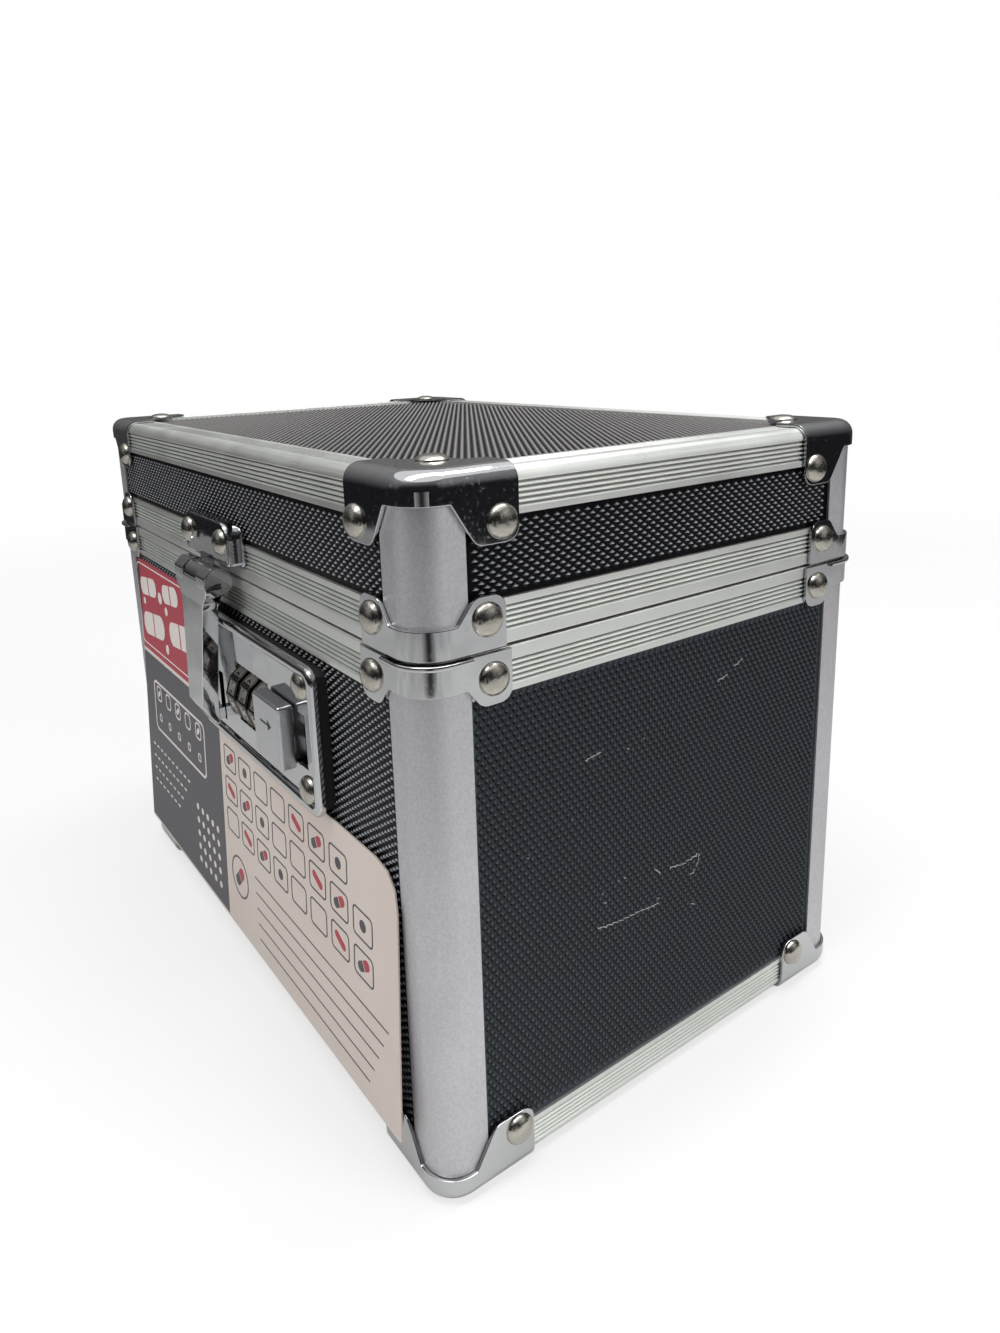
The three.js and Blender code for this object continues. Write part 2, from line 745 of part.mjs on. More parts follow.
function hingeLeaf(middle, upwards) {
  const side = upwards ? 1 : -1;
  const near = boxDepth / 2 + fitGap;
  const far = near + hingeLeafWall;
  const half = hingeWidth / 2;
  const edge = seamHeight + side * hingeLeafHeight;
  const leaf = upwards
    ? block(middle - half, middle + half, near, far, seamHeight, edge)
    : block(middle - half, middle + half, near, far, edge, seamHeight);
  const barrel = rodAlongX(hingeBarrelRadius, middle - half, middle + half, hingeAxisY, seamHeight);
  const middleKnuckle = knuckleWidth / 2 + knuckleGap;
  const space = hingeBarrelRadius + clearance;
  const others = upwards
    ? [
      [middle - half - cutPast, middle - knuckleWidth / 2],
      [middle + knuckleWidth / 2, middle + half + cutPast],
    ]
    : [[middle - middleKnuckle, middle + middleKnuckle]];
  const cuts = others.map(([x0, x1]) => block(x0, x1, near - cutPast,
    hingeAxisY + 2 * hingeBarrelRadius, seamHeight - space, seamHeight + space));
  cuts.push(rodAlongX(hingePinRadius + pivotGap, middle - hingeWidth, middle + hingeWidth,
    hingeAxisY, seamHeight));
  const rivets = [-1, 1].map((end) => {
    const rivet = rivetHead(hingeRivetRadius, hingeRivetHeight);
    rivet.rotateX(-Math.PI / 2);
    rivet.translate(middle + end * hingeRivetSpacing / 2, far,
      seamHeight + side * hingeLeafHeight * hingeRivetShare);
    return rivet;
  });
  return join([cut(join([leaf, barrel]), cuts), ...rivets]);
}

const hingeMiddle = boxWidth / 2 - hingeInset;
for (const [name, middle] of [['left', -hingeMiddle], ['right', hingeMiddle]]) {
  addMesh(root, `hinge_body_leaf_${name}`, hingeLeaf(middle, false), chrome);
  addMesh(lid, `hinge_lid_leaf_${name}`, hingeLeaf(middle, true), chrome);
  addMesh(root, `hinge_pin_${name}`, rodAlongX(hingePinRadius, middle - hingeWidth / 2,
    middle + hingeWidth / 2, hingeAxisY, seamHeight), springSteel);
}

// Lock plate with its gasket and the cover behind it

const plateOutline = rectangle(plateLeft, plateRight, plateBottom, plateTop, plateRadius);
const gasketOutline = rectangle(plateLeft + gasketInset, plateRight - gasketInset,
  plateBottom + gasketInset, plateTop - gasketInset, plateRadius - gasketInset);
const stapleSlot = [-stapleWidth / 2 - 2 * clearance, stapleWidth / 2 + 2 * clearance];
const slotBottom = stapleBottom - 2 * clearance;
const slotTop = stapleBottom + stapleHeight + stapleRise();
const slotBack = stapleInnerEnd - clearance;
addMesh(root, 'lock_gasket', cut(onFront(gasketOutline, fitGap - wallOuter, gasketFront), [
  lockCut,
  frontBlock(...stapleSlot, slotBack, gasketFront + cutPast, slotBottom, slotTop),
  frontBlock(stapleSlot[0], cutLeft + cutPast, slotBack, gasketFront + cutPast,
    boltBottom - clearance, boltTop + clearance),
]), blackRubber);

function lockPlate() {
  const field = onFront(plateOutline, plateBack, plateFront);
  const rimOutline = rectangle(plateLeft, plateRight, plateBottom, plateTop, plateRadius);
  rimOutline.holes.push(rectangle(plateLeft + plateRim, plateRight - plateRim,
    plateBottom + plateRim, plateTop - plateRim, plateRadius - plateRim));
  const rim = onFront(rimOutline, plateFront - fitGap, plateFront + plateRimHeight);
  const rivets = [];
  for (const z of [plateBottom + plateRivetInset, plateTop - plateRivetInset]) {
    for (const x of [plateLeft + plateRivetLeftEnd, plateRight - plateRivetEnd]) {
      rivets.push(rivetOnFront(rivetRadius, rivetHeight, x, plateFront, z));
    }
  }
  const lugLeft = dialMiddle - dialWindowWidth / 2;
  const lugRight = dialMiddle + dialWindowWidth / 2;
  const lugs = [[lugLeft - lugWidth, lugLeft], [lugRight, lugRight + lugWidth]].map(([x0, x1]) =>
    frontBlock(x0, x1, -dialAxisDepth - axleRadius - lugWall, plateBack + fitGap,
      lockMiddle - lugHeight / 2, lockMiddle + lugHeight / 2));
  const stop = frontBlock(stopLeft, stopLeft + lugWidth - clearance, slideFront - slideThickness,
    plateBack + fitGap, lockMiddle - lugHeight / 2, lockMiddle + lugHeight / 2);
  const openings = [
    onFront(rectangle(lugLeft, lugRight, lockMiddle - dialWindowHeight / 2,
      lockMiddle + dialWindowHeight / 2, windowRadius), 0, 2 * plateFront),
    onFront(rectangle(buttonWindowLeft, buttonWindowRight, lockMiddle - neckHeight / 2 - clearance,
      lockMiddle + neckHeight / 2 + clearance, windowRadius), 0, 2 * plateFront),
    frontBlock(...stapleSlot, 0, 2 * plateFront, slotBottom, slotTop),
    rodAlongX(axleRadius + fitGap, lugLeft - lugWidth - cutPast, lugRight + lugWidth + cutPast,
      frontPlane + dialAxisDepth, lockMiddle),
  ];
  return cut(join([field, rim, ...rivets, ...lugs, stop]), openings);
}

// Height that the staple climbs as the lid swings on its hinges, until it has left the plate.
function stapleRise() {
  const reach = boxDepth + hingeStandOff + stapleInnerEnd;
  const drop = seamHeight - stapleBottom - stapleHeight;
  return (stapleDepth * reach) / drop + 2 * clearance;
}

addMesh(root, 'lock_plate', lockPlate(), chrome);

const coverOuter = frontBlock(coverLeft, coverRight, -coverDepth, -wallInner - fitGap,
  coverBottom, coverTop);
const coverHollow = frontBlock(coverLeft + coverWall, coverRight - coverWall, -coverInnerDepth, 0,
  coverBottom + coverWall, coverTop - coverWall);
addMesh(root, 'lock_back_cover', cut(coverOuter, [coverHollow]), springSteel);

// Dials

function dialGeometry(middle) {
  const shape = new THREE.Shape();
  const place = 2 * Math.PI / dialPlaces;
  for (let index = 0; index < dialPlaces; index += 1) {
    for (const share of dialFlatShares) {
      const angle = (index + share) * place;
      const point = [dialRadius * Math.cos(angle), dialRadius * Math.sin(angle)];
      if (index === 0 && share === dialFlatShares[0]) shape.moveTo(...point);
      else shape.lineTo(...point);
    }
    const groove = (index + 0.5) * place;
    const deep = dialRadius - dialGrooveDepth;
    shape.lineTo(deep * Math.cos(groove), deep * Math.sin(groove));
  }
  const bore = new THREE.Path();
  bore.absarc(0, 0, axleRadius + axleClearance, 0, 2 * Math.PI);
  shape.holes.push(bore);
  const geometry = extrude(shape, dialWidth, 8);
  geometry.rotateY(Math.PI / 2);
  geometry.translate(middle - dialWidth / 2, frontPlane + dialAxisDepth, lockMiddle);
  return geometry;
}

for (const [name, step] of [['left', -1], ['middle', 0], ['right', 1]]) {
  addMesh(root, `dial_${name}`, dialGeometry(dialMiddle + step * dialPitch), chrome);
}
addMesh(root, 'dial_axle', rodAlongX(axleRadius, dialMiddle - dialWindowWidth / 2 - lugWidth,
  dialMiddle + dialWindowWidth / 2 + lugWidth, frontPlane + dialAxisDepth, lockMiddle), springSteel);

// Release button, its spring and the bolt that it moves

function releaseButton() {
  const inset = buttonBevel;
  const capShape = rectangle(buttonLeft + inset, buttonLeft + buttonWidth - inset,
    lockMiddle - buttonHeight / 2 + inset, lockMiddle + buttonHeight / 2 - inset, buttonRadius);
  const capBack = plateFront + clearance;
  const cap = new THREE.ExtrudeGeometry(plainShape(capShape, 3), {
    depth: buttonFront - capBack - 2 * inset, bevelThickness: inset, bevelSize: inset, bevelSegments: 2,
  });
  cap.rotateX(Math.PI / 2);
  cap.translate(0, frontPlane - capBack - inset, 0);
  const neck = frontBlock(neckLeft, neckLeft + neckWidth - neckInset, slideFront - fitGap, capBack + inset,
    lockMiddle - neckHeight / 2, lockMiddle + neckHeight / 2);
  const slide = frontBlock(slideLeft, slideRight, slideFront - slideThickness, slideFront,
    boltBottom, slideTop);
  const pocket = frontBlock(slideRight - springPocket, slideRight + cutPast,
    slideFront - 2 * slideThickness, slideFront - pocketCover,
    lockMiddle - springRadius - 2 * wireRadius, lockMiddle + springRadius + 2 * wireRadius);
  const middle = buttonLeft + buttonWidth / 2;
  const arrow = outline([
    [middle - arrowTail, lockMiddle - arrowHalfShaft],
    [middle + arrowNeck, lockMiddle - arrowHalfShaft],
    [middle + arrowNeck, lockMiddle - arrowHalfHead],
    [middle + arrowTip, lockMiddle],
    [middle + arrowNeck, lockMiddle + arrowHalfHead],
    [middle + arrowNeck, lockMiddle + arrowHalfShaft],
    [middle - arrowTail, lockMiddle + arrowHalfShaft],
  ]);
  const arrowCut = onFront(arrow, buttonFront - arrowDepth, buttonFront + cutPast);
  return cut(join([cap, neck, slide]), [pocket, arrowCut]);
}

addMesh(root, 'release_button', releaseButton(), chrome);

class SpringCoil extends THREE.Curve {
  constructor(from, to, out) {
    super();
    Object.assign(this, { from, to, out });
  }

  getPoint(t, target = new THREE.Vector3()) {
    const angle = 2 * Math.PI * springTurns * t;
    return target.set(
      this.from + (this.to - this.from) * t,
      frontPlane - this.out + springRadius * Math.cos(angle),
      lockMiddle + springRadius * Math.sin(angle),
    );
  }
}

function springGeometry() {
  const coil = new SpringCoil(slideRight - springPocket + clearance + wireRadius,
    stopLeft - clearance - wireRadius, slideFront - slideThickness / 2 - wireRadius);
  const wire = new THREE.Shape();
  wire.absarc(0, 0, wireRadius, 0, 2 * Math.PI);
  return new THREE.ExtrudeGeometry(plainShape(wire, 3), {
    steps: 8 * springTurns, extrudePath: coil, bevelEnabled: false,
  });
}

addMesh(root, 'release_spring', springGeometry(), springSteel);
addMesh(root, 'latch_bolt', frontBlock(boltLeft, slideRight - neckInset, boltBack, boltFront,
  boltBottom, boltTop), springSteel);

// Bracket on the lid, hasp and pin

const haspAxisY = frontPlane - haspAxisOut;
const bracketBottom = haspAxisHeight + haspBarrelRadius + 2 * clearance;

function lidBracket() {
  const half = bracketWidth / 2;
  const flange = onFront(rectangle(-half - bracketFlange, half + bracketFlange,
    bracketBottom, bracketTop - bracketFlangeWall, bracketFlangeRadius),
  fitGap, fitGap + bracketFlangeWall);
  const raised = onFront(outline([
    [-half, bracketBottom, bracketFootRadius], [half, bracketBottom, bracketFootRadius],
    [half, bracketTop, bracketRadius], [-half, bracketTop, bracketRadius],
  ]), fitGap, bracketFront);
  const knuckleHalf = haspNotch / 2 - clearance;
  const neck = frontBlock(-knuckleHalf, knuckleHalf, haspAxisOut - haspBarrelRadius + clearance,
    bracketFront, haspAxisHeight, bracketBottom + cutPast);
  const knuckle = rodAlongX(haspBarrelRadius - clearance, -knuckleHalf, knuckleHalf,
    haspAxisY, haspAxisHeight);
  const pinHole = rodAlongX(haspPinRadius + pivotGap, -haspNotch, haspNotch, haspAxisY, haspAxisHeight);
  const rivets = [-1, 1].map((side) => rivetOnFront(rivetRadius, rivetHeight,
    side * bracketRivetSpacing / 2, bracketFront, bracketTop - bracketRivetDrop));
  return join([cut(join([flange, raised, neck, knuckle]), [pinHole]), ...rivets]);
}

function hasp() {
  const half = haspHeadWidth / 2;
  const barrelFoot = haspAxisHeight - haspBarrelRadius;
  const shoulder = barrelFoot - haspShoulderDrop;
  const side = new THREE.Shape();
  side.moveTo(haspAxisOut + haspBarrelRadius - haspBrowInset, haspAxisHeight);
  side.lineTo(haspTopOut, shoulder);
  side.lineTo(haspTipOut, haspFaceBottom);
  side.lineTo(haspTipOut - haspThickness + haspToe[0], haspTip);
  side.lineTo(haspTipOut - haspThickness, haspTip + haspToe[1]);
  side.lineTo(haspTopOut - haspThickness, shoulder);
  side.lineTo(haspAxisOut - haspBarrelRadius + haspHeel[0], haspAxisHeight - haspHeel[1]);
  const lever = alongFront(side, -half, half);
  const barrel = rodAlongX(haspBarrelRadius, -half, half, haspAxisY, haspAxisHeight);
  const face = onFront(outline([
    [-half, haspAxisHeight + haspBarrelRadius + cutPast],
    [-half, barrelFoot + haspHeadLift, haspHeadRadius],
    [-haspShoulder / 2, shoulder, haspShoulderRadius],
    [-haspTipWidth / 2, haspFaceBottom],
    [-haspTipWidth / 2, haspTip - cutPast],
    [haspTipWidth / 2, haspTip - cutPast],
    [haspTipWidth / 2, haspFaceBottom],
    [haspShoulder / 2, shoulder, haspShoulderRadius],
    [half, barrelFoot + haspHeadLift, haspHeadRadius],
    [half, haspAxisHeight + haspBarrelRadius + cutPast],
  ]), 0, 2 * haspTipOut);
  const arm = overlap(join([lever, barrel]), face);
  const staple = frontBlock(-stapleWidth / 2, stapleWidth / 2, stapleInnerEnd,
    haspTipOut - haspThickness + cutPast, stapleBottom, stapleBottom + stapleHeight);
  const notch = rodAlongX(haspBarrelRadius + clearance, -haspNotch / 2, haspNotch / 2,
    haspAxisY, haspAxisHeight);
  const pinHole = rodAlongX(haspPinRadius + pivotGap, -haspHeadWidth, haspHeadWidth,
    haspAxisY, haspAxisHeight);
  return cut(join([arm, staple]), [notch, pinHole]);
}

addMesh(lid, 'lid_bracket', lidBracket(), chrome);
addMesh(lid, 'hasp_pin', rodAlongX(haspPinRadius, fitGap - haspHeadWidth / 2, haspHeadWidth / 2 - fitGap,
  haspAxisY, haspAxisHeight), springSteel);
addMesh(haspGroup, 'hasp', hasp(), chrome);

// Printed card

function labelCard() {
  const section = new THREE.Shape();
  section.moveTo(cardFootOut, cardBottom);
  section.lineTo(cardShelfOut, cardShelf);
  section.quadraticCurveTo(cardTopOut, (cardShelf + cardTop) / 2, cardTopOut, cardTop);
  section.lineTo(cardTopOut + cardThickness, cardTop);
  section.quadraticCurveTo(cardTopOut + cardThickness, (cardShelf + cardTop) / 2,
    cardShelfOut + cardThickness, cardShelf);
  section.lineTo(cardFootOut + cardThickness, cardBottom);
  const sheet = alongFront(section, cardLeft, cardRight, 6);
  const face = onFront(outline([
    [cardLeft, cardBottom, cardSmallRadius],
    [cardRight, cardBottom, cardSmallRadius],
    [cardRight, cardShelf, cardCornerRadius],
    [cardStep, cardShelf, cardStepRadius],
    [cardStep, cardTop, cardSmallRadius],
    [cardTopLeft, cardTop, cardSmallRadius],
  ]), cardTopOut - cutPast, cardFootOut + cutPast);
  return overlap(sheet, face);
}

addMesh(root, 'label_card', labelCard(), printedCard);

// The hasp stands out further than the hinges do.
root.position.y = (haspTipOut - hingeStandOff - hingeBarrelRadius) / 2;

export default root;
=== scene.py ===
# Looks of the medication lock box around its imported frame.
# Lengths in the dictionaries are millimetres, heights are above the ground.
import math

import bmesh
import bpy
from mathutils import Matrix, Vector


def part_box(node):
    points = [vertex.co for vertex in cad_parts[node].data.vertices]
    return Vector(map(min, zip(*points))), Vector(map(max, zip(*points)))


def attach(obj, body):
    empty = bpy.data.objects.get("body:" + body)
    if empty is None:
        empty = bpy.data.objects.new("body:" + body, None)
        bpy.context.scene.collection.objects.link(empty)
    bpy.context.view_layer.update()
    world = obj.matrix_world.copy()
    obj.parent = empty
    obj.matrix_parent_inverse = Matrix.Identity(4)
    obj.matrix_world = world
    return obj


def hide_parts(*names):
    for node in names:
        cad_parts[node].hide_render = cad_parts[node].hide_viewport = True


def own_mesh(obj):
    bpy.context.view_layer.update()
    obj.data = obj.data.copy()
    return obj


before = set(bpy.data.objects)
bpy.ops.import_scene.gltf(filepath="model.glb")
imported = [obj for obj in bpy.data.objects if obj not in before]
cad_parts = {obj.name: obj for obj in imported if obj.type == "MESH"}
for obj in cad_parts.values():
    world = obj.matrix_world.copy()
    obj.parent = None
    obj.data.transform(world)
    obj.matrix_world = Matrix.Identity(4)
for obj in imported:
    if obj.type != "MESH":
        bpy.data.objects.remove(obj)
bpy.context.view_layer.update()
mm = 0.001


def nodeBox(name):
    low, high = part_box(name)
    return low / mm, high / mm


baseLow, baseHigh = nodeBox("base_frame")
case = {
    "halfWidth": (baseHigh.x - baseLow.x) / 2,
    "halfDepth": (baseHigh.y - baseLow.y) / 2,
    "middleY": (baseHigh.y + baseLow.y) / 2,
    "baseZ": baseLow.z,
    "topZ": nodeBox("top_frame")[1].z,
    "bodyRimZ": nodeBox("body_rim_frame")[1].z,
    "lidRimZ": nodeBox("lid_rim_frame")[0].z,
    "cornerRadius": 7.5,
    "boardDepth": 1.0,
}
print("frame loaded")


# Camera at the photograph's viewpoint

view = {
    "place": (255.58, -154.49, 192.85),
    "azimuth": 54.364,
    "elevation": 12.918,
    "roll": -1.7456,
    "focalPixels": 910.95,
    "imageWidth": 1000,
    "imageHeight": 1333,
    "centreX": 495.54,
    "centreY": 552.39,
    "filmSize": 36,
}


def addCamera():
    azimuth, elevation = math.radians(view["azimuth"]), math.radians(view["elevation"])
    ahead = Vector((
        -math.sin(azimuth) * math.cos(elevation),
        math.cos(azimuth) * math.cos(elevation),
        -math.sin(elevation),
    ))
    right = ahead.cross(Vector((0, 0, 1))).normalized()
    up = right.cross(ahead)
    turn = Matrix((right, up, -ahead)).transposed().to_4x4()
    roll = Matrix.Rotation(math.radians(view["roll"]), 4, "Z")
    data = bpy.data.cameras.new("photoCamera")
    data.sensor_width = view["filmSize"]
    data.lens = view["focalPixels"] / view["imageHeight"] * view["filmSize"]
    data.shift_x = (view["imageWidth"] / 2 - view["centreX"]) / view["imageHeight"]
    data.shift_y = (view["centreY"] - view["imageHeight"] / 2) / view["imageHeight"]
    data.clip_start = 0.01
    camera = bpy.data.objects.new("photoCamera", data)
    camera.matrix_world = Matrix.Translation(Vector(view["place"]) * mm) @ turn @ roll
    bpy.context.scene.collection.objects.link(camera)
    bpy.context.scene.camera = camera


addCamera()
print("camera placed")


# Materials

def srgb(hexColour):
    shares = [int(hexColour[place:place + 2], 16) / 255 for place in (0, 2, 4)]
    return [c / 12.92 if c <= 0.04045 else ((c + 0.055) / 1.055) ** 2.4 for c in shares] + [1]


def perMetre(size):
    # noise scale for a pattern of this size in millimetres
    return 1000 / size


def addNode(tree, kind, settings=None, links=None):
    node = tree.nodes.new(kind)
    for name, value in (settings or {}).items():
        if isinstance(name, int) or name in node.inputs:
            node.inputs[name].default_value = value
        else:
            setattr(node, name, value)
    for name, source in (links or {}).items():
        tree.links.new(source, node.inputs[name])
    return node


def newMaterial(name, settings):
    material = bpy.data.materials.new(name)
    material.use_nodes = True
    tree = material.node_tree
    shader = tree.nodes["Principled BSDF"]
    for socket, value in settings.items():
        shader.inputs[socket].default_value = value
    place = addNode(tree, "ShaderNodeTexCoord").outputs["Object"]
    return material, tree, shader, place


def extrudedAluminium():
    # Anodised aluminium extrusion: satin, with faint die lines along the length.
    look = {"lineWidth": 0.35, "lineRun": 60, "cloudSize": 14, "rough": (0.38, 0.48)}
    material, tree, shader, place = newMaterial("anodisedAluminiumExtrusion", {
        "Base Color": srgb("eceeea"), "Metallic": 1, "Roughness": 0.43})
    run, width = perMetre(look["lineRun"]), perMetre(look["lineWidth"])
    stretched = addNode(tree, "ShaderNodeMapping", {"Scale": (run, run, width)}, {"Vector": place})
    lines = addNode(tree, "ShaderNodeTexNoise", {"Scale": 1, "Detail": 3},
                    {"Vector": stretched.outputs[0]})
    clouds = addNode(tree, "ShaderNodeTexNoise", {
        "Scale": perMetre(look["cloudSize"]), "Detail": 4}, {"Vector": place})
    both = addNode(tree, "ShaderNodeMath", {"operation": "MULTIPLY"},
                   {0: lines.outputs[0], 1: clouds.outputs[0]})
    rough = addNode(tree, "ShaderNodeMapRange", {
        "From Min": 0.12, "From Max": 0.4, "To Min": look["rough"][0], "To Max": look["rough"][1],
    }, {"Value": both.outputs[0]})
    bump = addNode(tree, "ShaderNodeBump", {"Strength": 0.05, "Distance": 0.01 * mm},
                   {"Height": lines.outputs[0]})
    tree.links.new(rough.outputs[0], shader.inputs["Roughness"])
    tree.links.new(bump.outputs[0], shader.inputs["Normal"])
    return material


def grooveAluminium():
    # Anodised aluminium on the groove floors, painted darker as shade and duller than the ridges
    # beside it, in random blotches.
    look = {"patchSize": 9, "lighterShade": "a2a39f", "darkerShade": "6c6d6a"}
    material, tree, shader, place = newMaterial("grooveShadedAluminium", {
        "Base Color": srgb(look["lighterShade"]), "Metallic": 1, "Roughness": 0.5})
    patches = addNode(tree, "ShaderNodeTexNoise", {"Scale": perMetre(look["patchSize"]), "Detail": 5},
                   {"Vector": place})
    colour = addNode(tree, "ShaderNodeMix", {
        "data_type": "RGBA", 6: srgb(look["darkerShade"]), 7: srgb(look["lighterShade"])}, {0: patches.outputs[0]})
    tree.links.new(colour.outputs[2], shader.inputs["Base Color"])
    return material


def blastedAluminium():
    # Bead-blasted anodised aluminium: fine even grain that sparkles a little.
    # The real grain is finer, and is drawn as coarse as it needs to be to show.
    look = {"grain": 0.6, "cloudSize": 22, "dark": "c8c7cb", "light": "d1d0d4"}
    material, tree, shader, place = newMaterial("blastedAnodisedAluminium", {
        "Base Color": srgb(look["light"]), "Metallic": 1, "Roughness": 0.52})
    grain = addNode(tree, "ShaderNodeTexNoise", {"Scale": perMetre(look["grain"]), "Detail": 2},
                    {"Vector": place})
    clouds = addNode(tree, "ShaderNodeTexNoise", {
        "Scale": perMetre(look["cloudSize"]), "Detail": 3}, {"Vector": place})
    rough = addNode(tree, "ShaderNodeMapRange", {"From Min": 0.3, "From Max": 0.7, "To Min": 0.46,
                                                 "To Max": 0.56}, {"Value": clouds.outputs[0]})
    speckle = addNode(tree, "ShaderNodeMapRange", {"From Min": 0.4, "From Max": 0.6},
                      {"Value": grain.outputs[0]})
    colour = addNode(tree, "ShaderNodeMix", {"data_type": "RGBA", 6: srgb(look["dark"]),
                                             7: srgb(look["light"])}, {0: speckle.outputs[0]})
    tree.links.new(colour.outputs[2], shader.inputs["Base Color"])
    bump = addNode(tree, "ShaderNodeBump", {"Strength": 0.55, "Distance": 0.08 * mm},
                   {"Height": grain.outputs[0]})
    tree.links.new(rough.outputs[0], shader.inputs["Roughness"])
    tree.links.new(bump.outputs[0], shader.inputs["Normal"])
    return material


plates = {
    "chrome": {"name": "chromePlatedSteel", "colour": "c8c9cb", "rough": 0.07,
               "waveSize": 8, "wave": 0.3, "speckSize": 0.9},
    "wornChrome": {"name": "wornChromePlate", "colour": "c4c5c8", "rough": 0.3,
                   "waveSize": 3, "wave": 0.3, "speckSize": 0.6},
    "blackNickel": {"name": "blackNickelPlate", "colour": "5a5551", "rough": 0.24,
                    "waveSize": 2, "wave": 0.3, "speckSize": 0.5},
    "satinNickel": {"name": "satinNickelPlate", "colour": "c6c2bd", "rough": 0.38,
                    "waveSize": 2, "wave": 0.3, "speckSize": 0.5},
    "nickel": {"name": "nickelPlatedRivet", "colour": "b9b5ac", "rough": 0.2,
               "waveSize": 2.2, "wave": 0.35, "speckSize": 0.5},
}


def polishedPlate(plate):
    # Plated pressed steel: mirror bright, with a slow waviness and small dull specks.
    rough = plate["rough"]
    material, tree, shader, place = newMaterial(plate["name"], {
        "Base Color": srgb(plate["colour"]), "Metallic": 1, "Roughness": rough})
    waves = addNode(tree, "ShaderNodeTexNoise", {"Scale": perMetre(plate["waveSize"]), "Detail": 1},
                    {"Vector": place})
    specks = addNode(tree, "ShaderNodeTexNoise", {
        "Scale": perMetre(plate["speckSize"]), "Detail": 5, "Roughness": 0.7}, {"Vector": place})
    dull = addNode(tree, "ShaderNodeMapRange", {
        "From Min": 0.56, "From Max": 0.72, "To Min": rough, "To Max": rough + 0.22,
    }, {"Value": specks.outputs[0]})
    bump = addNode(tree, "ShaderNodeBump", {"Strength": plate["wave"], "Distance": 0.4 * mm},
                   {"Height": waves.outputs[0]})
    tree.links.new(dull.outputs[0], shader.inputs["Roughness"])
    tree.links.new(bump.outputs[0], shader.inputs["Normal"])
    return material


scuff = {
    "width": 0.28, "wander": 0.9, "wobbleSize": 5, "strength": 0.8, "torn": "b4b4b2",
    # straight strokes on the right wall, from one (y, z) to another, y from the middle of the case
    "strokes": [
        ((16.5, 106.4), (20.4, 107.2)), ((23.2, 108.9), (26.4, 110.3)),
        ((-28.7, 98.2), (-26.6, 98.5)), ((-26.6, 98.5), (-23.7, 98.8)),
        ((-15.2, 97.1), (-14.5, 97)), ((-9.8, 98), (-9.3, 98.2)), ((-0.1, 59.4), (5.1, 58.2)),
        ((5.1, 58.2), (10.9, 59.6)), ((11.3, 59.1), (10.4, 55.8)), ((10.4, 55.8), (7.8, 54.2)),
        ((-5.6, 61.1), (-3.5, 58.9)), ((-18.4, 62.6), (-17.8, 62.6)),
        ((-16.2, 62.7), (-15.6, 62.8)), ((-23.8, 61.5), (-23.3, 61.5)),
        ((-22.7, 58.6), (-22, 58.5)), ((8.4, 45.3), (9.6, 44.8)), ((-4.4, 52), (-3.6, 52)),
        ((-4, 50.7), (-17.8, 51.5)), ((-17.8, 51.5), (-25.3, 52.5)),
        ((-33, 84.3), (-32.4, 84.3)), ((-46.1, 79.8), (-45.5, 79.9)),
    ],
}


def scuffMask(tree, place):
    # one thin band for each stroke: close to its line, and between its two ends
    wander = scuff["wander"] * mm
    wobble = addNode(tree, "ShaderNodeTexNoise", {
        "Scale": perMetre(scuff["wobbleSize"]), "Detail": 3}, {"Vector": place})
    shift = addNode(tree, "ShaderNodeVectorMath", {
        "operation": "MULTIPLY_ADD", 1: [wander] * 3, 2: [-wander / 2] * 3,
    }, {0: wobble.outputs["Color"]})
    spot = addNode(tree, "ShaderNodeVectorMath", {"operation": "ADD"},
                   {0: place, 1: shift.outputs[0]})
    mask = None
    for ends in scuff["strokes"]:
        start, end = (Vector((0, y + case["middleY"], z)) * mm for y, z in ends)
        along = (end - start).normalized()
        across = Vector((0, -along.z, along.y))
        band = None
        for axis, half in ((along, (end - start).length / 2), (across, scuff["width"] / 2 * mm)):
            reach = addNode(tree, "ShaderNodeVectorMath", {"operation": "DOT_PRODUCT", 1: axis},
                            {0: spot.outputs[0]})
            inside = addNode(tree, "ShaderNodeMath", {
                "operation": "COMPARE", 1: (start + end).dot(axis) / 2, 2: half,
            }, {0: reach.outputs["Value"]})
            if band:
                inside = addNode(tree, "ShaderNodeMath", {"operation": "MULTIPLY"},
                                 {0: band.outputs[0], 1: inside.outputs[0]})
            band = inside
        if mask:
            band = addNode(tree, "ShaderNodeMath", {"operation": "MAXIMUM"},
                           {0: mask.outputs[0], 1: band.outputs[0]})
        mask = band
    return addNode(tree, "ShaderNodeMath", {"operation": "MULTIPLY", 1: scuff["strength"]},
                   {0: mask.outputs[0]})


film = {
    # each look: valley, flank and dust colours, painted shade under the points, and a rubbed grey
    # on the tips that is also painted highlight
    "sharp": {"dustSize": 9, "valley": "020305", "flank": "0d0e12", "dusty": "1c1b1c",
              "shade": "050608", "rubbedHighlight": "b4b7be"},
    # the lower right wall is paler in the valleys and on the upper sides, with painted shade under
    # each point
    "wornAndLit": {"dustSize": 11, "valley": "33383e", "flank": "202429", "dusty": "242823",
             "shade": "020304", "rubbedHighlight": "5a5f67"},
    # shares of a point's height between which its flank begins, and those where it is rubbed grey,
    # a grey that is also painted highlight
    "flankFrom": 0.15, "flankTo": 0.42, "rubbedHighlightFrom": 0.45, "rubbedHighlightTo": 0.9, "rubbedHighlightMost": 0.85,
    "lean": 0.25,  # rise of the normal at which a side counts as wholly upper or under side
}
# the top's copy, with a darker, warmer grey on the points: rubbing that is also painted highlight
film["lying"] = {**film["sharp"], "rubbedHighlight": "a09d9c"}


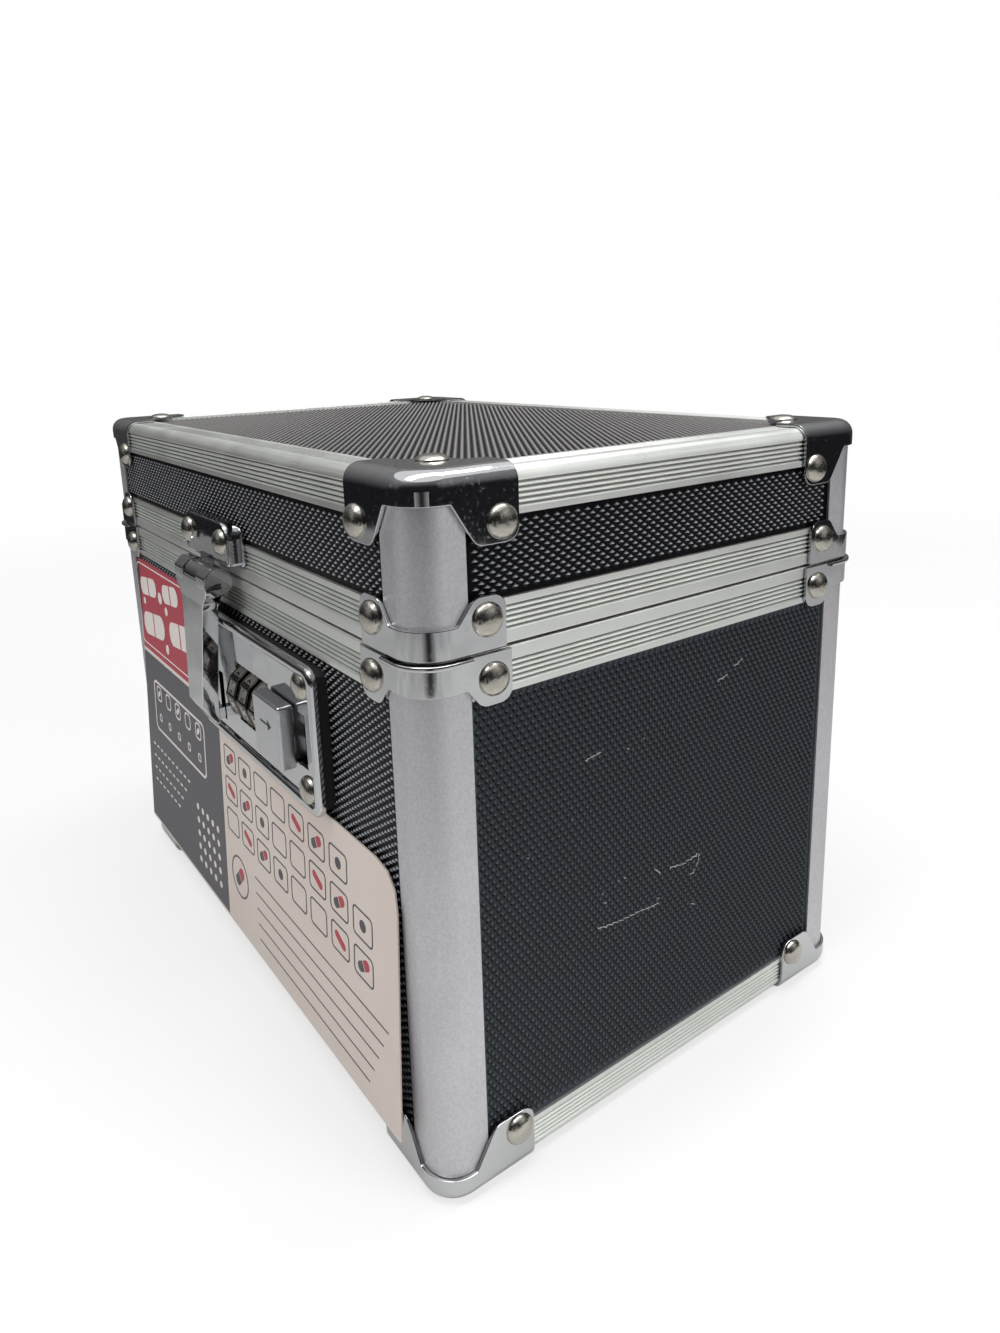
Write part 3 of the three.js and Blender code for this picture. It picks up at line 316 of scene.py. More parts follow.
def embossedVinyl(name, look, scuffed):
    # Black embossed vinyl film: half gloss, with the points of the small pyramids rubbed grey on
    # their upper sides, a grey that is also painted highlight, and painted shade on their under
    # sides.
    material, tree, shader, place = newMaterial(name, {
        "Base Color": srgb(look["flank"]), "Roughness": 0.36, "Specular IOR Level": 0.1})
    dust = addNode(tree, "ShaderNodeTexNoise", {"Scale": perMetre(look["dustSize"]), "Detail": 6,
                                                "Roughness": 0.65}, {"Vector": place})
    share = addNode(tree, "ShaderNodeMapRange", {"From Min": 0.35, "From Max": 0.7},
                    {"Value": dust.outputs[0]})
    skin = addNode(tree, "ShaderNodeMix", {"data_type": "RGBA", 6: srgb(look["flank"]),
                                           7: srgb(look["dusty"])}, {0: share.outputs[0]})
    tip = addNode(tree, "ShaderNodeAttribute", {"attribute_name": "tip"})
    raised = addNode(tree, "ShaderNodeMapRange", {
        "From Min": film["flankFrom"], "From Max": film["flankTo"],
    }, {"Value": tip.outputs["Fac"]})
    wornAndLit = addNode(tree, "ShaderNodeMapRange", {
        "From Min": film["rubbedHighlightFrom"], "From Max": film["rubbedHighlightTo"], "To Max": film["rubbedHighlightMost"],
    }, {"Value": tip.outputs["Fac"]})
    # painted shade on the under side of each point; dust and the rubbed grey, which is also painted
    # highlight, show on the upper side
    facing = addNode(tree, "ShaderNodeSeparateXYZ", {}, {0: place.node.outputs["Normal"]})
    upper = addNode(tree, "ShaderNodeMapRange", {
        "From Min": -film["lean"], "From Max": film["lean"]}, {"Value": facing.outputs["Z"]})
    wornAndLit = addNode(tree, "ShaderNodeMath", {"operation": "MULTIPLY"},
                   {0: wornAndLit.outputs[0], 1: upper.outputs[0]})
    # painted shade: the shade colour on the under side of each point
    skin = addNode(tree, "ShaderNodeMix", {"data_type": "RGBA", 6: srgb(look["shade"])},
                   {0: upper.outputs[0], 7: skin.outputs[2]})
    colour = addNode(tree, "ShaderNodeMix", {"data_type": "RGBA", 6: srgb(look["valley"])},
                     {0: raised.outputs[0], 7: skin.outputs[2]})
    # the rubbed grey on the upper tips, also a painted highlight
    colour = addNode(tree, "ShaderNodeMix", {"data_type": "RGBA", 7: srgb(look["rubbedHighlight"])},
                     {0: wornAndLit.outputs[0], 6: colour.outputs[2]})
    if scuffed:
        colour = addNode(tree, "ShaderNodeMix", {"data_type": "RGBA", 7: srgb(scuff["torn"])},
                         {0: scuffMask(tree, place).outputs[0], 6: colour.outputs[2]})
    rough = addNode(tree, "ShaderNodeMapRange", {"To Min": 0.28, "To Max": 0.46},
                    {"Value": dust.outputs[0]})
    tree.links.new(colour.outputs[2], shader.inputs["Base Color"])
    tree.links.new(rough.outputs[0], shader.inputs["Roughness"])
    return material


def coveredBoard():
    # Fibreboard with a black film: plain edges under the embossed covering.
    material, tree, shader, place = newMaterial("blackFilmFibreboard", {
        "Base Color": srgb("1a1a1d"), "Roughness": 0.6})
    grainSize = 0.8
    grain = addNode(tree, "ShaderNodeTexNoise", {"Scale": perMetre(grainSize), "Detail": 4},
                    {"Vector": place})
    bump = addNode(tree, "ShaderNodeBump", {"Strength": 0.3, "Distance": 0.1 * mm},
                   {"Height": grain.outputs[0]})
    tree.links.new(bump.outputs[0], shader.inputs["Normal"])
    return material


def mouldedRubber():
    # Moulded black rubber: dull, with a faint skin texture.
    material, tree, shader, place = newMaterial("mouldedBlackRubber", {
        "Base Color": srgb("151517"), "Roughness": 0.62})
    skinSize = 0.5
    skin = addNode(tree, "ShaderNodeTexNoise", {"Scale": perMetre(skinSize), "Detail": 4},
                   {"Vector": place})
    bump = addNode(tree, "ShaderNodeBump", {"Strength": 0.25, "Distance": 0.05 * mm},
                   {"Height": skin.outputs[0]})
    tree.links.new(bump.outputs[0], shader.inputs["Normal"])
    return material


def brushedSteel():
    # Cold-rolled steel: grey, brushed, with a trace of oil.
    look = {"lineRun": 6, "lineWidth": 0.3}
    material, tree, shader, place = newMaterial("brushedSteel", {
        "Base Color": srgb("a9a8a6"), "Metallic": 1, "Roughness": 0.32})
    run, width = perMetre(look["lineRun"]), perMetre(look["lineWidth"])
    stretched = addNode(tree, "ShaderNodeMapping", {"Scale": (run, width, width)},
                        {"Vector": place})
    lines = addNode(tree, "ShaderNodeTexNoise", {"Scale": 1, "Detail": 4},
                    {"Vector": stretched.outputs[0]})
    rough = addNode(tree, "ShaderNodeMapRange", {"To Min": 0.22, "To Max": 0.46},
                    {"Value": lines.outputs[0]})
    tree.links.new(rough.outputs[0], shader.inputs["Roughness"])
    return material


def feltLining():
    # Needled felt on thin foam: soft, matt, with short fibres.
    material, tree, shader, place = newMaterial("charcoalFelt", {
        "Base Color": srgb("2b2b2f"), "Roughness": 0.95, "Sheen Weight": 0.35,
        "Sheen Roughness": 0.5})
    fibreSize = 0.6
    fibres = addNode(tree, "ShaderNodeTexNoise", {
        "Scale": perMetre(fibreSize), "Detail": 6, "Roughness": 0.75}, {"Vector": place})
    colour = addNode(tree, "ShaderNodeMix", {"data_type": "RGBA", 6: srgb("1f1f23"),
                                             7: srgb("3d3d42")}, {0: fibres.outputs[0]})
    bump = addNode(tree, "ShaderNodeBump", {"Strength": 0.6, "Distance": 0.3 * mm},
                   {"Height": fibres.outputs[0]})
    tree.links.new(colour.outputs[2], shader.inputs["Base Color"])
    tree.links.new(bump.outputs[0], shader.inputs["Normal"])
    return material


def inkMaterial(name, hexColour):
    # Offset printing ink on coated card: flat colour with a trace of mottling.
    material, tree, shader, place = newMaterial(name, {
        "Base Color": srgb(hexColour), "Roughness": 0.38, "Specular IOR Level": 0.3})
    mottleSize = 3
    mottle = addNode(tree, "ShaderNodeTexNoise", {"Scale": perMetre(mottleSize), "Detail": 4},
                     {"Vector": place})
    rough = addNode(tree, "ShaderNodeMapRange", {"To Min": 0.3, "To Max": 0.48},
                    {"Value": mottle.outputs[0]})
    tree.links.new(rough.outputs[0], shader.inputs["Roughness"])
    return material


def printedCard():
    # Coated carton: a red head, a slate block and a cream field, each a flat printed area.
    look = {"paper": "c8bfb8", "cream": "bdafa6", "slate": "49484e", "red": "9c2f3d",
            "slateRight": -14.8, "slateTop": 82, "slateFoot": 12.2, "redFoot": 83.4,
            "bowSize": 45, "fibreSize": 0.9}
    material, tree, shader, place = newMaterial("coatedCarton", {
        "Base Color": srgb(look["cream"]), "Roughness": 0.42, "Specular IOR Level": 0.3})
    spot = addNode(tree, "ShaderNodeSeparateXYZ", {}, {0: place})
    bow = addNode(tree, "ShaderNodeTexNoise", {"Scale": perMetre(look["bowSize"]), "Detail": 2},
                  {"Vector": place})
    colour = addNode(tree, "ShaderNodeMix", {"data_type": "RGBA", 6: srgb(look["cream"]),
                                             7: srgb(look["paper"])}, {0: bow.outputs[0]})

    def isAbove(axis, level, turned=False):
        kind = "LESS_THAN" if turned else "GREATER_THAN"
        return addNode(tree, "ShaderNodeMath", {"operation": kind, 1: level * mm},
                       {0: spot.outputs[axis]}).outputs[0]

    def both(first, second):
        return addNode(tree, "ShaderNodeMath", {"operation": "MULTIPLY"},
                       {0: first, 1: second}).outputs[0]

    slate = both(isAbove("X", look["slateRight"], True), isAbove("Z", look["slateTop"], True))
    slate = both(slate, isAbove("Z", look["slateFoot"]))
    for share, ink in ((slate, look["slate"]), (isAbove("Z", look["redFoot"]), look["red"])):
        colour = addNode(tree, "ShaderNodeMix", {"data_type": "RGBA", 7: srgb(ink)},
                         {0: share, 6: colour.outputs[2]})
    fibres = addNode(tree, "ShaderNodeTexNoise", {
        "Scale": perMetre(look["fibreSize"]), "Detail": 4}, {"Vector": place})
    bump = addNode(tree, "ShaderNodeBump", {"Strength": 0.12, "Distance": 0.05 * mm},
                   {"Height": fibres.outputs[0]})
    tree.links.new(colour.outputs[2], shader.inputs["Base Color"])
    tree.links.new(bump.outputs[0], shader.inputs["Normal"])
    return material


looks = {
    "rail": extrudedAluminium(),
    "groove": grooveAluminium(),
    "post": blastedAluminium(),
    **{key: polishedPlate(plate) for key, plate in plates.items()},
    "vinyl": embossedVinyl("embossedBlackVinyl", film["sharp"], False),
    "scuffedVinyl": embossedVinyl("scuffedEmbossedVinyl", film["wornAndLit"], True),
    "lyingVinyl": embossedVinyl("topEmbossedVinyl", film["lying"], False),
    "board": coveredBoard(),
    "rubber": mouldedRubber(),
    "steel": brushedSteel(),
    "felt": feltLining(),
    "card": printedCard(),
    "blackPaint": inkMaterial("blackEngravingPaint", "121214"),
    "whiteInk": inkMaterial("paleOffsetInk", "cbc4c0"),
    "redInk": inkMaterial("redOffsetInk", "a02c3a"),
    "slateInk": inkMaterial("slateOffsetInk", "3f3f46"),
}
print("materials made")


# Shared modelling steps. A wall is drawn flat: x along it, y up, z out from the faces of the rails.

quarterNames = {"front_left": 0, "front_right": 1, "back_right": 2, "back_left": 3}
wallQuarters = {"front": 0, "right": 1, "back": 2, "left": 3}
flatToWall = Matrix(((1, 0, 0, 0), (0, 0, -1, 0), (0, 1, 0, 0), (0, 0, 0, 1)))


def wallPlace(wall):
    quarter = wallQuarters[wall]
    reach = case["halfWidth"] if quarter % 2 else case["halfDepth"]
    turn = Matrix.Rotation(quarter * math.pi / 2, 4, "Z")
    return turn @ Matrix.Translation((0, -reach, 0)) @ flatToWall


def cornerPlace(corner, level, flipped):
    quarter = quarterNames[corner]
    x = case["halfWidth"] * (1 if quarter in (1, 2) else -1)
    y = case["halfDepth"] * (1 if quarter in (2, 3) else -1)
    turn = Matrix.Rotation(quarter * math.pi / 2, 4, "Z")
    if flipped:
        turn = turn @ Matrix.Rotation(math.pi, 4, Vector((1, 1, 0)))
    return Matrix.Translation((x, y, level)) @ turn


def shiftAll(bm, way):
    bmesh.ops.translate(bm, vec=way, verts=bm.verts)


def scaleAll(bm, sizes):
    bmesh.ops.scale(bm, vec=sizes, verts=bm.verts)


def turnAll(bm, angle, axis):
    bmesh.ops.rotate(bm, cent=(0, 0, 0), matrix=Matrix.Rotation(angle, 3, axis), verts=bm.verts)


def placeAll(bm, matrix):
    bmesh.ops.transform(bm, matrix=matrix, verts=bm.verts)


def newPiece(name, bm, materials, body, replaced=(), sharpAngle=35, evenNormals=True):
    shiftAll(bm, (0, case["middleY"], 0))
    scaleAll(bm, (mm, mm, mm))
    mesh = bpy.data.meshes.new(name)
    bm.to_mesh(mesh)
    bm.free()
    for material in materials:
        mesh.materials.append(looks[material])
    mesh.shade_smooth()
    mesh.set_sharp_from_angle(angle=math.radians(sharpAngle))
    piece = bpy.data.objects.new(name, mesh)
    bpy.context.scene.collection.objects.link(piece)
    if evenNormals:
        normals = piece.modifiers.new("evenNormals", "WEIGHTED_NORMAL")
        normals.keep_sharp = True
    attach(piece, body)
    if replaced:
        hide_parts(*replaced)
    return piece


def addPart(bm, part, matrix=None, look=0):
    if matrix is not None:
        placeAll(part, matrix)
    if look is not None:
        for face in part.faces:
            face.material_index = look
    spare = bpy.data.meshes.new("spare")
    part.to_mesh(spare)
    part.free()
    bm.from_mesh(spare)
    bpy.data.meshes.remove(spare)


def faceAway(bm, inside):
    for face in bm.faces:
        face.normal_update()
        if face.normal.dot(face.calc_center_median() - Vector(inside)) < 0:
            face.normal_flip()


def vertAt(bm, point):
    return min(bm.verts, key=lambda vert: (vert.co - Vector(point)).length)


def roundVert(bm, point, radius, segments=6):
    bmesh.ops.bevel(bm, geom=[vertAt(bm, point)], offset=radius, offset_type="OFFSET",
                    segments=segments, profile=0.5, affect="VERTICES", material=-1)


def bevelEdges(bm, edges, radius, segments=3):
    bmesh.ops.bevel(bm, geom=edges, offset=radius, offset_type="OFFSET", segments=segments,
                    profile=0.5, affect="EDGES", material=-1, clamp_overlap=True)


def easeEdges(bm, width, segments=2, angle=40):
    sharp = [e for e in bm.edges
             if len(e.link_faces) == 2 and e.calc_face_angle(0) > math.radians(angle)]
    bevelEdges(bm, sharp, width, segments)


def cutAlong(bm, faces, point, normal, clear=False):
    parts = set(faces)
    for face in faces:
        parts.update(face.edges)
        parts.update(face.verts)
    split = bmesh.ops.bisect_plane(bm, geom=list(parts), dist=1e-5, plane_co=point, plane_no=normal)
    if clear:
        beyond = [f for f in split["geom"] if isinstance(f, bmesh.types.BMFace)
                  and (f.calc_center_median() - Vector(point)).dot(Vector(normal)) > 1e-6]
        bmesh.ops.delete(bm, geom=beyond, context="FACES")


def joinLevelFaces(bm):
    bmesh.ops.dissolve_limit(bm, angle_limit=math.radians(0.4), use_dissolve_boundaries=False,
                             verts=bm.verts[:], edges=bm.edges[:])


def windowSides(window, up=1):
    # a point on each side of a window in x and one more axis, and the way across that side
    for axis, place in zip((0, 0, up, up), window):
        across = Vector()
        across[axis] = 1
        yield across * place, across


def liesIn(point, window, up=1):
    left, right, foot, top = window
    return left < point.x < right and foot < point[up] < top


def cutWindow(bm, window, chosen, up=1):
    for point, normal in windowSides(window, up):
        cutAlong(bm, [f for f in bm.faces if chosen(f)], point, normal)
    inside = [f for f in bm.faces if chosen(f) and liesIn(f.calc_center_median(), window, up)]
    bmesh.ops.delete(bm, geom=inside, context="FACES")


def closeBack(bm, rim, level):
    # walls from the rim down to a level, and a face across the back
    made = bmesh.ops.extrude_edge_only(bm, edges=rim)
    for vert in made["geom"]:
        if isinstance(vert, bmesh.types.BMVert):
            vert.co.z = level
    loops = [e for e in bm.edges if e.is_boundary]
    bmesh.ops.triangle_fill(bm, use_beauty=True, use_dissolve=False, edges=loops, normal=(0, 0, -1))
    bmesh.ops.recalc_face_normals(bm, faces=bm.faces[:])


def flatSheet(points, radii=None):
    bm = bmesh.new()
    bm.faces.new([bm.verts.new((x, y, 0)) for x, y in points])
    for (x, y), radius in zip(points, radii or []):
        if radius:
            roundVert(bm, (x, y, 0), radius)
    faceAway(bm, (0, 0, -1000))
    return bm


def roundedPlate(points, radii, back, front, ease=0.2):
    bm = flatSheet(points, radii)
    bmesh.ops.solidify(bm, geom=bm.faces[:], thickness=front - back)
    shiftAll(bm, (0, 0, front))
    if ease:
        easeEdges(bm, ease)
    return bm


def rectanglePoints(x0, x1, y0, y1):
    return [(x0, y0), (x1, y0), (x1, y1), (x0, y1)]


def cubeBetween(low, high):
    bm = bmesh.new()
    bmesh.ops.create_cube(bm, size=1)
    scaleAll(bm, [b - a for a, b in zip(low, high)])
    shiftAll(bm, [(a + b) / 2 for a, b in zip(low, high)])
    return bm


def roundedBlock(low, high, ease, segments=2):
    bm = cubeBetween(low, high)
    bevelEdges(bm, bm.edges[:], ease, segments)
    return bm


def rodAlong(radius, x0, x1, y, z, ease=0.2, sides=32, easeAngle=60):
    # a flat side, not a corner, faces out
    bm = bmesh.new()
    radius = radius / math.cos(math.pi / sides)
    bmesh.ops.create_cone(bm, cap_ends=True, segments=sides, radius1=radius, radius2=radius,
                          depth=x1 - x0)
    turnAll(bm, math.pi / sides, "Z")
    easeEdges(bm, ease, angle=easeAngle)
    turnAll(bm, math.pi / 2, "Y")
    shiftAll(bm, ((x0 + x1) / 2, y, z))
    return bm


def rivetHead(radius, height, sides=28):
    # flattened dome, spun about z, standing on z = 0 and sunk a little into the sheet
    shares = [(0, 1), (0.3, 0.97), (0.55, 0.87), (0.76, 0.68), (0.9, 0.42), (0.98, 0.16), (1, -0.2)]
    bm = bmesh.new()
    verts = [bm.verts.new((radius * r, 0, height * h)) for r, h in shares]
    edges = [bm.edges.new(pair) for pair in zip(verts, verts[1:])]
    bmesh.ops.spin(bm, geom=verts + edges, cent=(0, 0, 0), axis=(0, 0, 1), dvec=(0, 0, 0),
                   angle=2 * math.pi, space=Matrix.Identity(4), steps=sides, use_merge=True,
                   use_normal_flip=False, use_duplicate=False)
    bmesh.ops.remove_doubles(bm, verts=bm.verts, dist=1e-4)
    bmesh.ops.holes_fill(bm, edges=bm.edges[:], sides=0)
    bmesh.ops.recalc_face_normals(bm, faces=bm.faces[:])
    return bm


# Rails: ridged aluminium angles at the base and top, channels at the seam

rail = {
    "wall": 0.9, "height": 10, "flange": 10.4, "edge": 3, "rimEdge": 0.4, "lip": 7,
    "lipOuter": 4.3, "endGap": 12.6, "ridges": 4, "pitch": 1.15, "start": 2.5,
    "grooveDepth": 0.5, "jointRound": 0.5,
}
# one side of a groove, from the ridge's crown to the floor: distance from its middle, and depth
rail["grooveSide"] = ((rail["pitch"] / 2, 0), (0.44, 0.05), (0.34, 0.15), (0.26, 0.3),
                      (0.2, rail["grooveDepth"]))


def groovePoints():
    points = [(rail["start"] - rail["pitch"], 0)]
    for groove in range(rail["ridges"] + 1):
        middle = rail["start"] + (groove - 0.5) * rail["pitch"]
        points += [(middle - across, deep) for across, deep in rail["grooveSide"][1:]]
        points += [(middle + across, deep) for across, deep in reversed(rail["grooveSide"])]
    return points


def angleSection():
    # (distance in from the side face, distance from the level face), corners to round
    wall, edge = rail["wall"], rail["edge"]
    side = [(deep, rail["height"] - along) for along, deep in reversed(groovePoints())]
    level = [(rail["flange"] - along, deep) for along, deep in groovePoints()]
    points = [(0, 0), *side, (0, rail["height"]), (wall, rail["height"]), (wall, wall),
              (rail["flange"], wall), (rail["flange"], 0), *level]
    return points, {(0, 0): edge, (wall, wall): edge - wall}


def channelSection():
    wall = rail["wall"]
    lipInner = rail["lipOuter"] + wall
    side = [(deep, rail["height"] - along) for along, deep in reversed(groovePoints())]
    points = [(0, 0), *side, (0, rail["height"]), (wall, rail["height"]), (wall, wall),
              (rail["lipOuter"], wall), (rail["lipOuter"], rail["lip"]), (lipInner, rail["lip"]),
              (lipInner, 0)]
    return points, {(0, 0): rail["rimEdge"]}


def railLength(section, wall, level, upward):
    points, rounds = section
    along = case["halfDepth"] if wallQuarters[wall] % 2 else case["halfWidth"]
    half = along - rail["endGap"]
    bm = bmesh.new()
    bm.faces.new([bm.verts.new((-half, level + upward * rise, -deep)) for deep, rise in points])
    for (deep, rise), radius in rounds.items():
        roundVert(bm, (-half, level + upward * rise, -deep), radius, segments=7)
    bm.faces.ensure_lookup_table()
    bm.faces[0].normal_update()
    if bm.faces[0].normal.x < 0:
        bm.faces[0].normal_flip()
    bmesh.ops.solidify(bm, geom=bm.faces[:], thickness=-2 * half)
    bmesh.ops.recalc_face_normals(bm, faces=bm.faces[:])
    floor = rail["grooveDepth"]
    # the groove floors take the second material, painted darker as shade
    for face in bm.faces:
        isFloor = (all(abs(v.co.z + floor) < 1e-3 for v in face.verts)
                   or all(abs(abs(v.co.y - level) - floor) < 1e-3 for v in face.verts))
        face.material_index = 1 if isFloor else 0
    placeAll(bm, wallPlace(wall))
    return bm


def cornerJoint(corner, level, flipped, inset, width):
    reach = rail["endGap"]
    bm = flatSheet([(inset, inset), (reach, inset), (reach, width), (width, width),
                    (width, reach), (inset, reach)],
                   [case["cornerRadius"] - inset, 0, 0, rail["jointRound"], 0, 0])
    bmesh.ops.solidify(bm, geom=bm.faces[:], thickness=rail["wall"])
    shiftAll(bm, (0, 0, rail["wall"]))
    placeAll(bm, cornerPlace(corner, level, flipped))
    return bm


def railFrame(name, section, level, flipped, inset, width, body):
    bm = bmesh.new()
    for wall in wallQuarters:
        addPart(bm, railLength(section, wall, level, -1 if flipped else 1), None, None)
    for corner in quarterNames:
        addPart(bm, cornerJoint(corner, level, flipped, inset, width))
    newPiece(name + "_rails", bm, ["rail", "groove"], body, [name],
             sharpAngle=28)


channelWidth = rail["lipOuter"] + rail["wall"]
railFrame("base_frame", angleSection(), case["baseZ"], False, rail["edge"], rail["flange"], "body")
railFrame("body_rim_frame", channelSection(), case["bodyRimZ"], True, rail["rimEdge"],
          channelWidth, "body")
railFrame("lid_rim_frame", channelSection(), case["lidRimZ"], False, rail["rimEdge"],
          channelWidth, "lid")
railFrame("top_frame", angleSection(), case["topZ"], True, rail["edge"], rail["flange"], "lid")
print("rails made")


# Corner posts

post = {"flange": 12.5, "wall": 0.9, "ease": 0.15}


def cornerPost(prefix, corner, body):
    name = prefix + "_post_" + corner
    low, high = nodeBox(name)
    bm = bmesh.new()
    verts = [bm.verts.new((x, y, 0)) for x, y in ((post["flange"], 0), (0, 0), (0, post["flange"]))]
    edges = [bm.edges.new(pair) for pair in zip(verts, verts[1:])]
    made = bmesh.ops.extrude_edge_only(bm, edges=edges)
    raised = [v for v in made["geom"] if isinstance(v, bmesh.types.BMVert)]
    bmesh.ops.translate(bm, vec=(0, 0, high.z - low.z), verts=raised)
    upright = [e for e in bm.edges if all(v.co.xy.length < 1e-6 for v in e.verts)]
    bevelEdges(bm, upright, case["cornerRadius"], segments=16)
    faceAway(bm, (post["flange"], post["flange"], (high.z - low.z) / 2))
    bmesh.ops.solidify(bm, geom=bm.faces[:], thickness=post["wall"])
    easeEdges(bm, post["ease"], angle=60)
    placeAll(bm, cornerPlace(corner, low.z, False))
    newPiece(name + "_sheet", bm, ["post"], body, [name], sharpAngle=40)


for cornerName in quarterNames:
    cornerPost("body", cornerName, "body")
    cornerPost("lid", cornerName, "lid")
print("posts made")


# Pressed corner caps, drawn with the corner of the case at x = y = 0 and the case towards +x and +y

cap = {"gap": 0.1, "wall": 0.9, "ease": 0.22, "rivetRadius": 3.8, "rivetHeight": 2,
       "cornerSegments": 14, "edgeSegments": 8}
edgeCap = {
    "tabLength": 25.2, "tabHeight": 15.2, "band": 6, "notch": 8.6, "slopeEnd": 14.4,
    "rivet": (20.8, 10.7), "tabRound": 3.4, "slopeRound": 1.6, "notchRound": 0.4, "lip": 0,
    # the level flap, which narrows towards the tabs and has a lobe for a rivet
    "flapWidth": 9.5, "flapRise": 1, "flapRound": 1.5, "lobe": 19, "lobeRound": 5,
    "lobeFootRound": 2, "flapRivet": 14.6, "flapRivetHeight": 1.3,
}
lidRimCap = {
    "tabLength": 21.2, "tabHeight": 11.7, "band": 6.4, "notch": 9.2, "slopeEnd": 13.4,
    "rivet": (16.4, 6.6), "tabRound": 3.2, "slopeRound": 1.4, "notchRound": 0.7, "lip": 0,
}
bodyRimCap = {
    "tabLength": 22.4, "tabHeight": 11.5, "band": 7, "notch": 11, "slopeEnd": 14.4,
    "rivet": (17.6, 5.8), "tabRound": 3.2, "slopeRound": 1.6, "notchRound": 0.5, "lip": 0.9,
}
lipSizes = {"height": 1.2, "past": 1.2, "sunk": 0.3, "round": 0.4}


def trimmedShell(sizes):
    hasFlap = "flapWidth" in sizes
    out = cap["gap"] + cap["wall"]
    length, height, band = sizes["tabLength"], sizes["tabHeight"], sizes["band"]
    notch, slopeEnd = sizes["notch"], sizes["slopeEnd"]
    low = -out if hasFlap else 0
    bm = cubeBetween((-out, -out, low), (length, length, height))
    ends = [f for f in bm.faces if f.normal.z > 0.5 or f.normal.x > 0.5 or f.normal.y > 0.5
            or (not hasFlap and f.normal.z < -0.5)]
    bmesh.ops.delete(bm, geom=ends, context="FACES")
    upright = [e for e in bm.edges if len(e.link_faces) == 2
               and abs(e.verts[0].co.z - e.verts[1].co.z) > 1]
    bevelEdges(bm, upright, case["cornerRadius"] + out, cap["cornerSegments"])
    if hasFlap:
        lower = [e for e in bm.edges if len(e.link_faces) == 2
                 and all(abs(v.co.z - low) < 1e-4 for v in e.verts)]
        bevelEdges(bm, lower, rail["edge"] + out, cap["edgeSegments"])

    # the band round the corner, then the slope up to each tab
    def wallFaces(chosen=lambda c: True):
        return [f for f in bm.faces if abs(f.normal.z) < 1e-3 and chosen(f.calc_center_median())]

    cutAlong(bm, wallFaces(), (notch, 0, 0), (1, 0, 0))
    cutAlong(bm, wallFaces(), (0, notch, 0), (0, 1, 0))
    cutAlong(bm, wallFaces(lambda c: c.x < notch and c.y < notch), (0, 0, band), (0, 0, 1), True)
    run, rise = slopeEnd - notch, height - band
    cutAlong(bm, wallFaces(lambda c: c.x > notch), (notch, 0, band), (-rise, 0, run), True)
    cutAlong(bm, wallFaces(lambda c: c.y > notch), (0, notch, band), (0, -rise, run), True)
    if hasFlap:
        lobe, flap = sizes["lobe"], sizes["flapWidth"]

        def levelFaces(chosen=lambda c: True):
            return [f for f in bm.faces if f.normal.z < -0.999 and chosen(f.calc_center_median())]

        cutAlong(bm, levelFaces(), (lobe, 0, 0), (1, 0, 0))
        cutAlong(bm, levelFaces(), (0, lobe, 0), (0, 1, 0))
        bmesh.ops.delete(bm, geom=levelFaces(lambda c: c.x > lobe and c.y > lobe), context="FACES")
        slope = sizes["flapRise"] / (length - lobe)
        cutAlong(bm, levelFaces(lambda c: c.x > lobe), (length, flap, 0), (slope, 1, 0), True)
        cutAlong(bm, levelFaces(lambda c: c.y > lobe), (flap, length, 0), (1, slope, 0), True)
    joinLevelFaces(bm)
    for x, y in ((1, 0), (0, 1)):
        for along, up, radius in ((length, height, sizes["tabRound"]),
                                  (slopeEnd, height, sizes["slopeRound"]),
                                  (notch, band, sizes["notchRound"])):
            roundVert(bm, (along * x - out * y, along * y - out * x, up), radius)
    if hasFlap:
        foot = flap + sizes["flapRise"]
        for x, y, radius in ((length, flap, sizes["flapRound"]), (flap, length, sizes["flapRound"]),
                             (lobe, lobe, sizes["lobeRound"]), (lobe, foot, sizes["lobeFootRound"]),
                             (foot, lobe, sizes["lobeFootRound"])):
            roundVert(bm, (x, y, low), radius)
    faceAway(bm, (length, length, height))
    bmesh.ops.solidify(bm, geom=bm.faces[:], thickness=cap["wall"])
    easeEdges(bm, cap["ease"], angle=50)
    return bm


def seamLip(sizes):
    out = cap["gap"] + cap["wall"]
    axis = case["cornerRadius"]
    reach = sizes["notch"] + lipSizes["past"]
    bm = bmesh.new()
    outer, sunk, top = -out - sizes["lip"], -out + lipSizes["sunk"], lipSizes["height"]
    corners = [(axis, outer, 0), (axis, sunk, 0), (axis, sunk, top), (axis, outer, top)]
    bm.faces.new([bm.verts.new(c) for c in corners])
    roundVert(bm, corners[0], lipSizes["round"], 3)
    roundVert(bm, corners[3], lipSizes["round"], 3)
    made = bmesh.ops.extrude_face_region(bm, geom=bm.faces[:])
    far = [v for v in made["geom"] if isinstance(v, bmesh.types.BMVert)]
    bmesh.ops.translate(bm, vec=(reach - axis, 0, 0), verts=far)
    start = [f for f in bm.faces if all(abs(v.co.x - axis) < 1e-5 for v in f.verts)]
    bmesh.ops.spin(bm, geom=start, cent=(axis, axis, 0), axis=(0, 0, 1), dvec=(0, 0, 0),
                   angle=-math.pi / 2, space=Matrix.Identity(4), steps=cap["cornerSegments"],
                   use_merge=False, use_normal_flip=False, use_duplicate=False)
    last = [f for f in bm.faces if all(abs(v.co.y - axis) < 1e-4 for v in f.verts)]
    made = bmesh.ops.extrude_face_region(bm, geom=last)
    far = [v for v in made["geom"] if isinstance(v, bmesh.types.BMVert)]
    bmesh.ops.translate(bm, vec=(0, reach - axis, 0), verts=far)
    bmesh.ops.remove_doubles(bm, verts=bm.verts, dist=1e-4)
    inner = [f for f in bm.faces if all(abs(v.co.x - axis) < 1e-3 for v in f.verts)
             or all(abs(v.co.y - axis) < 1e-3 for v in f.verts)]
    bmesh.ops.delete(bm, geom=inner, context="FACES")
    bmesh.ops.recalc_face_normals(bm, faces=bm.faces[:])
    return bm


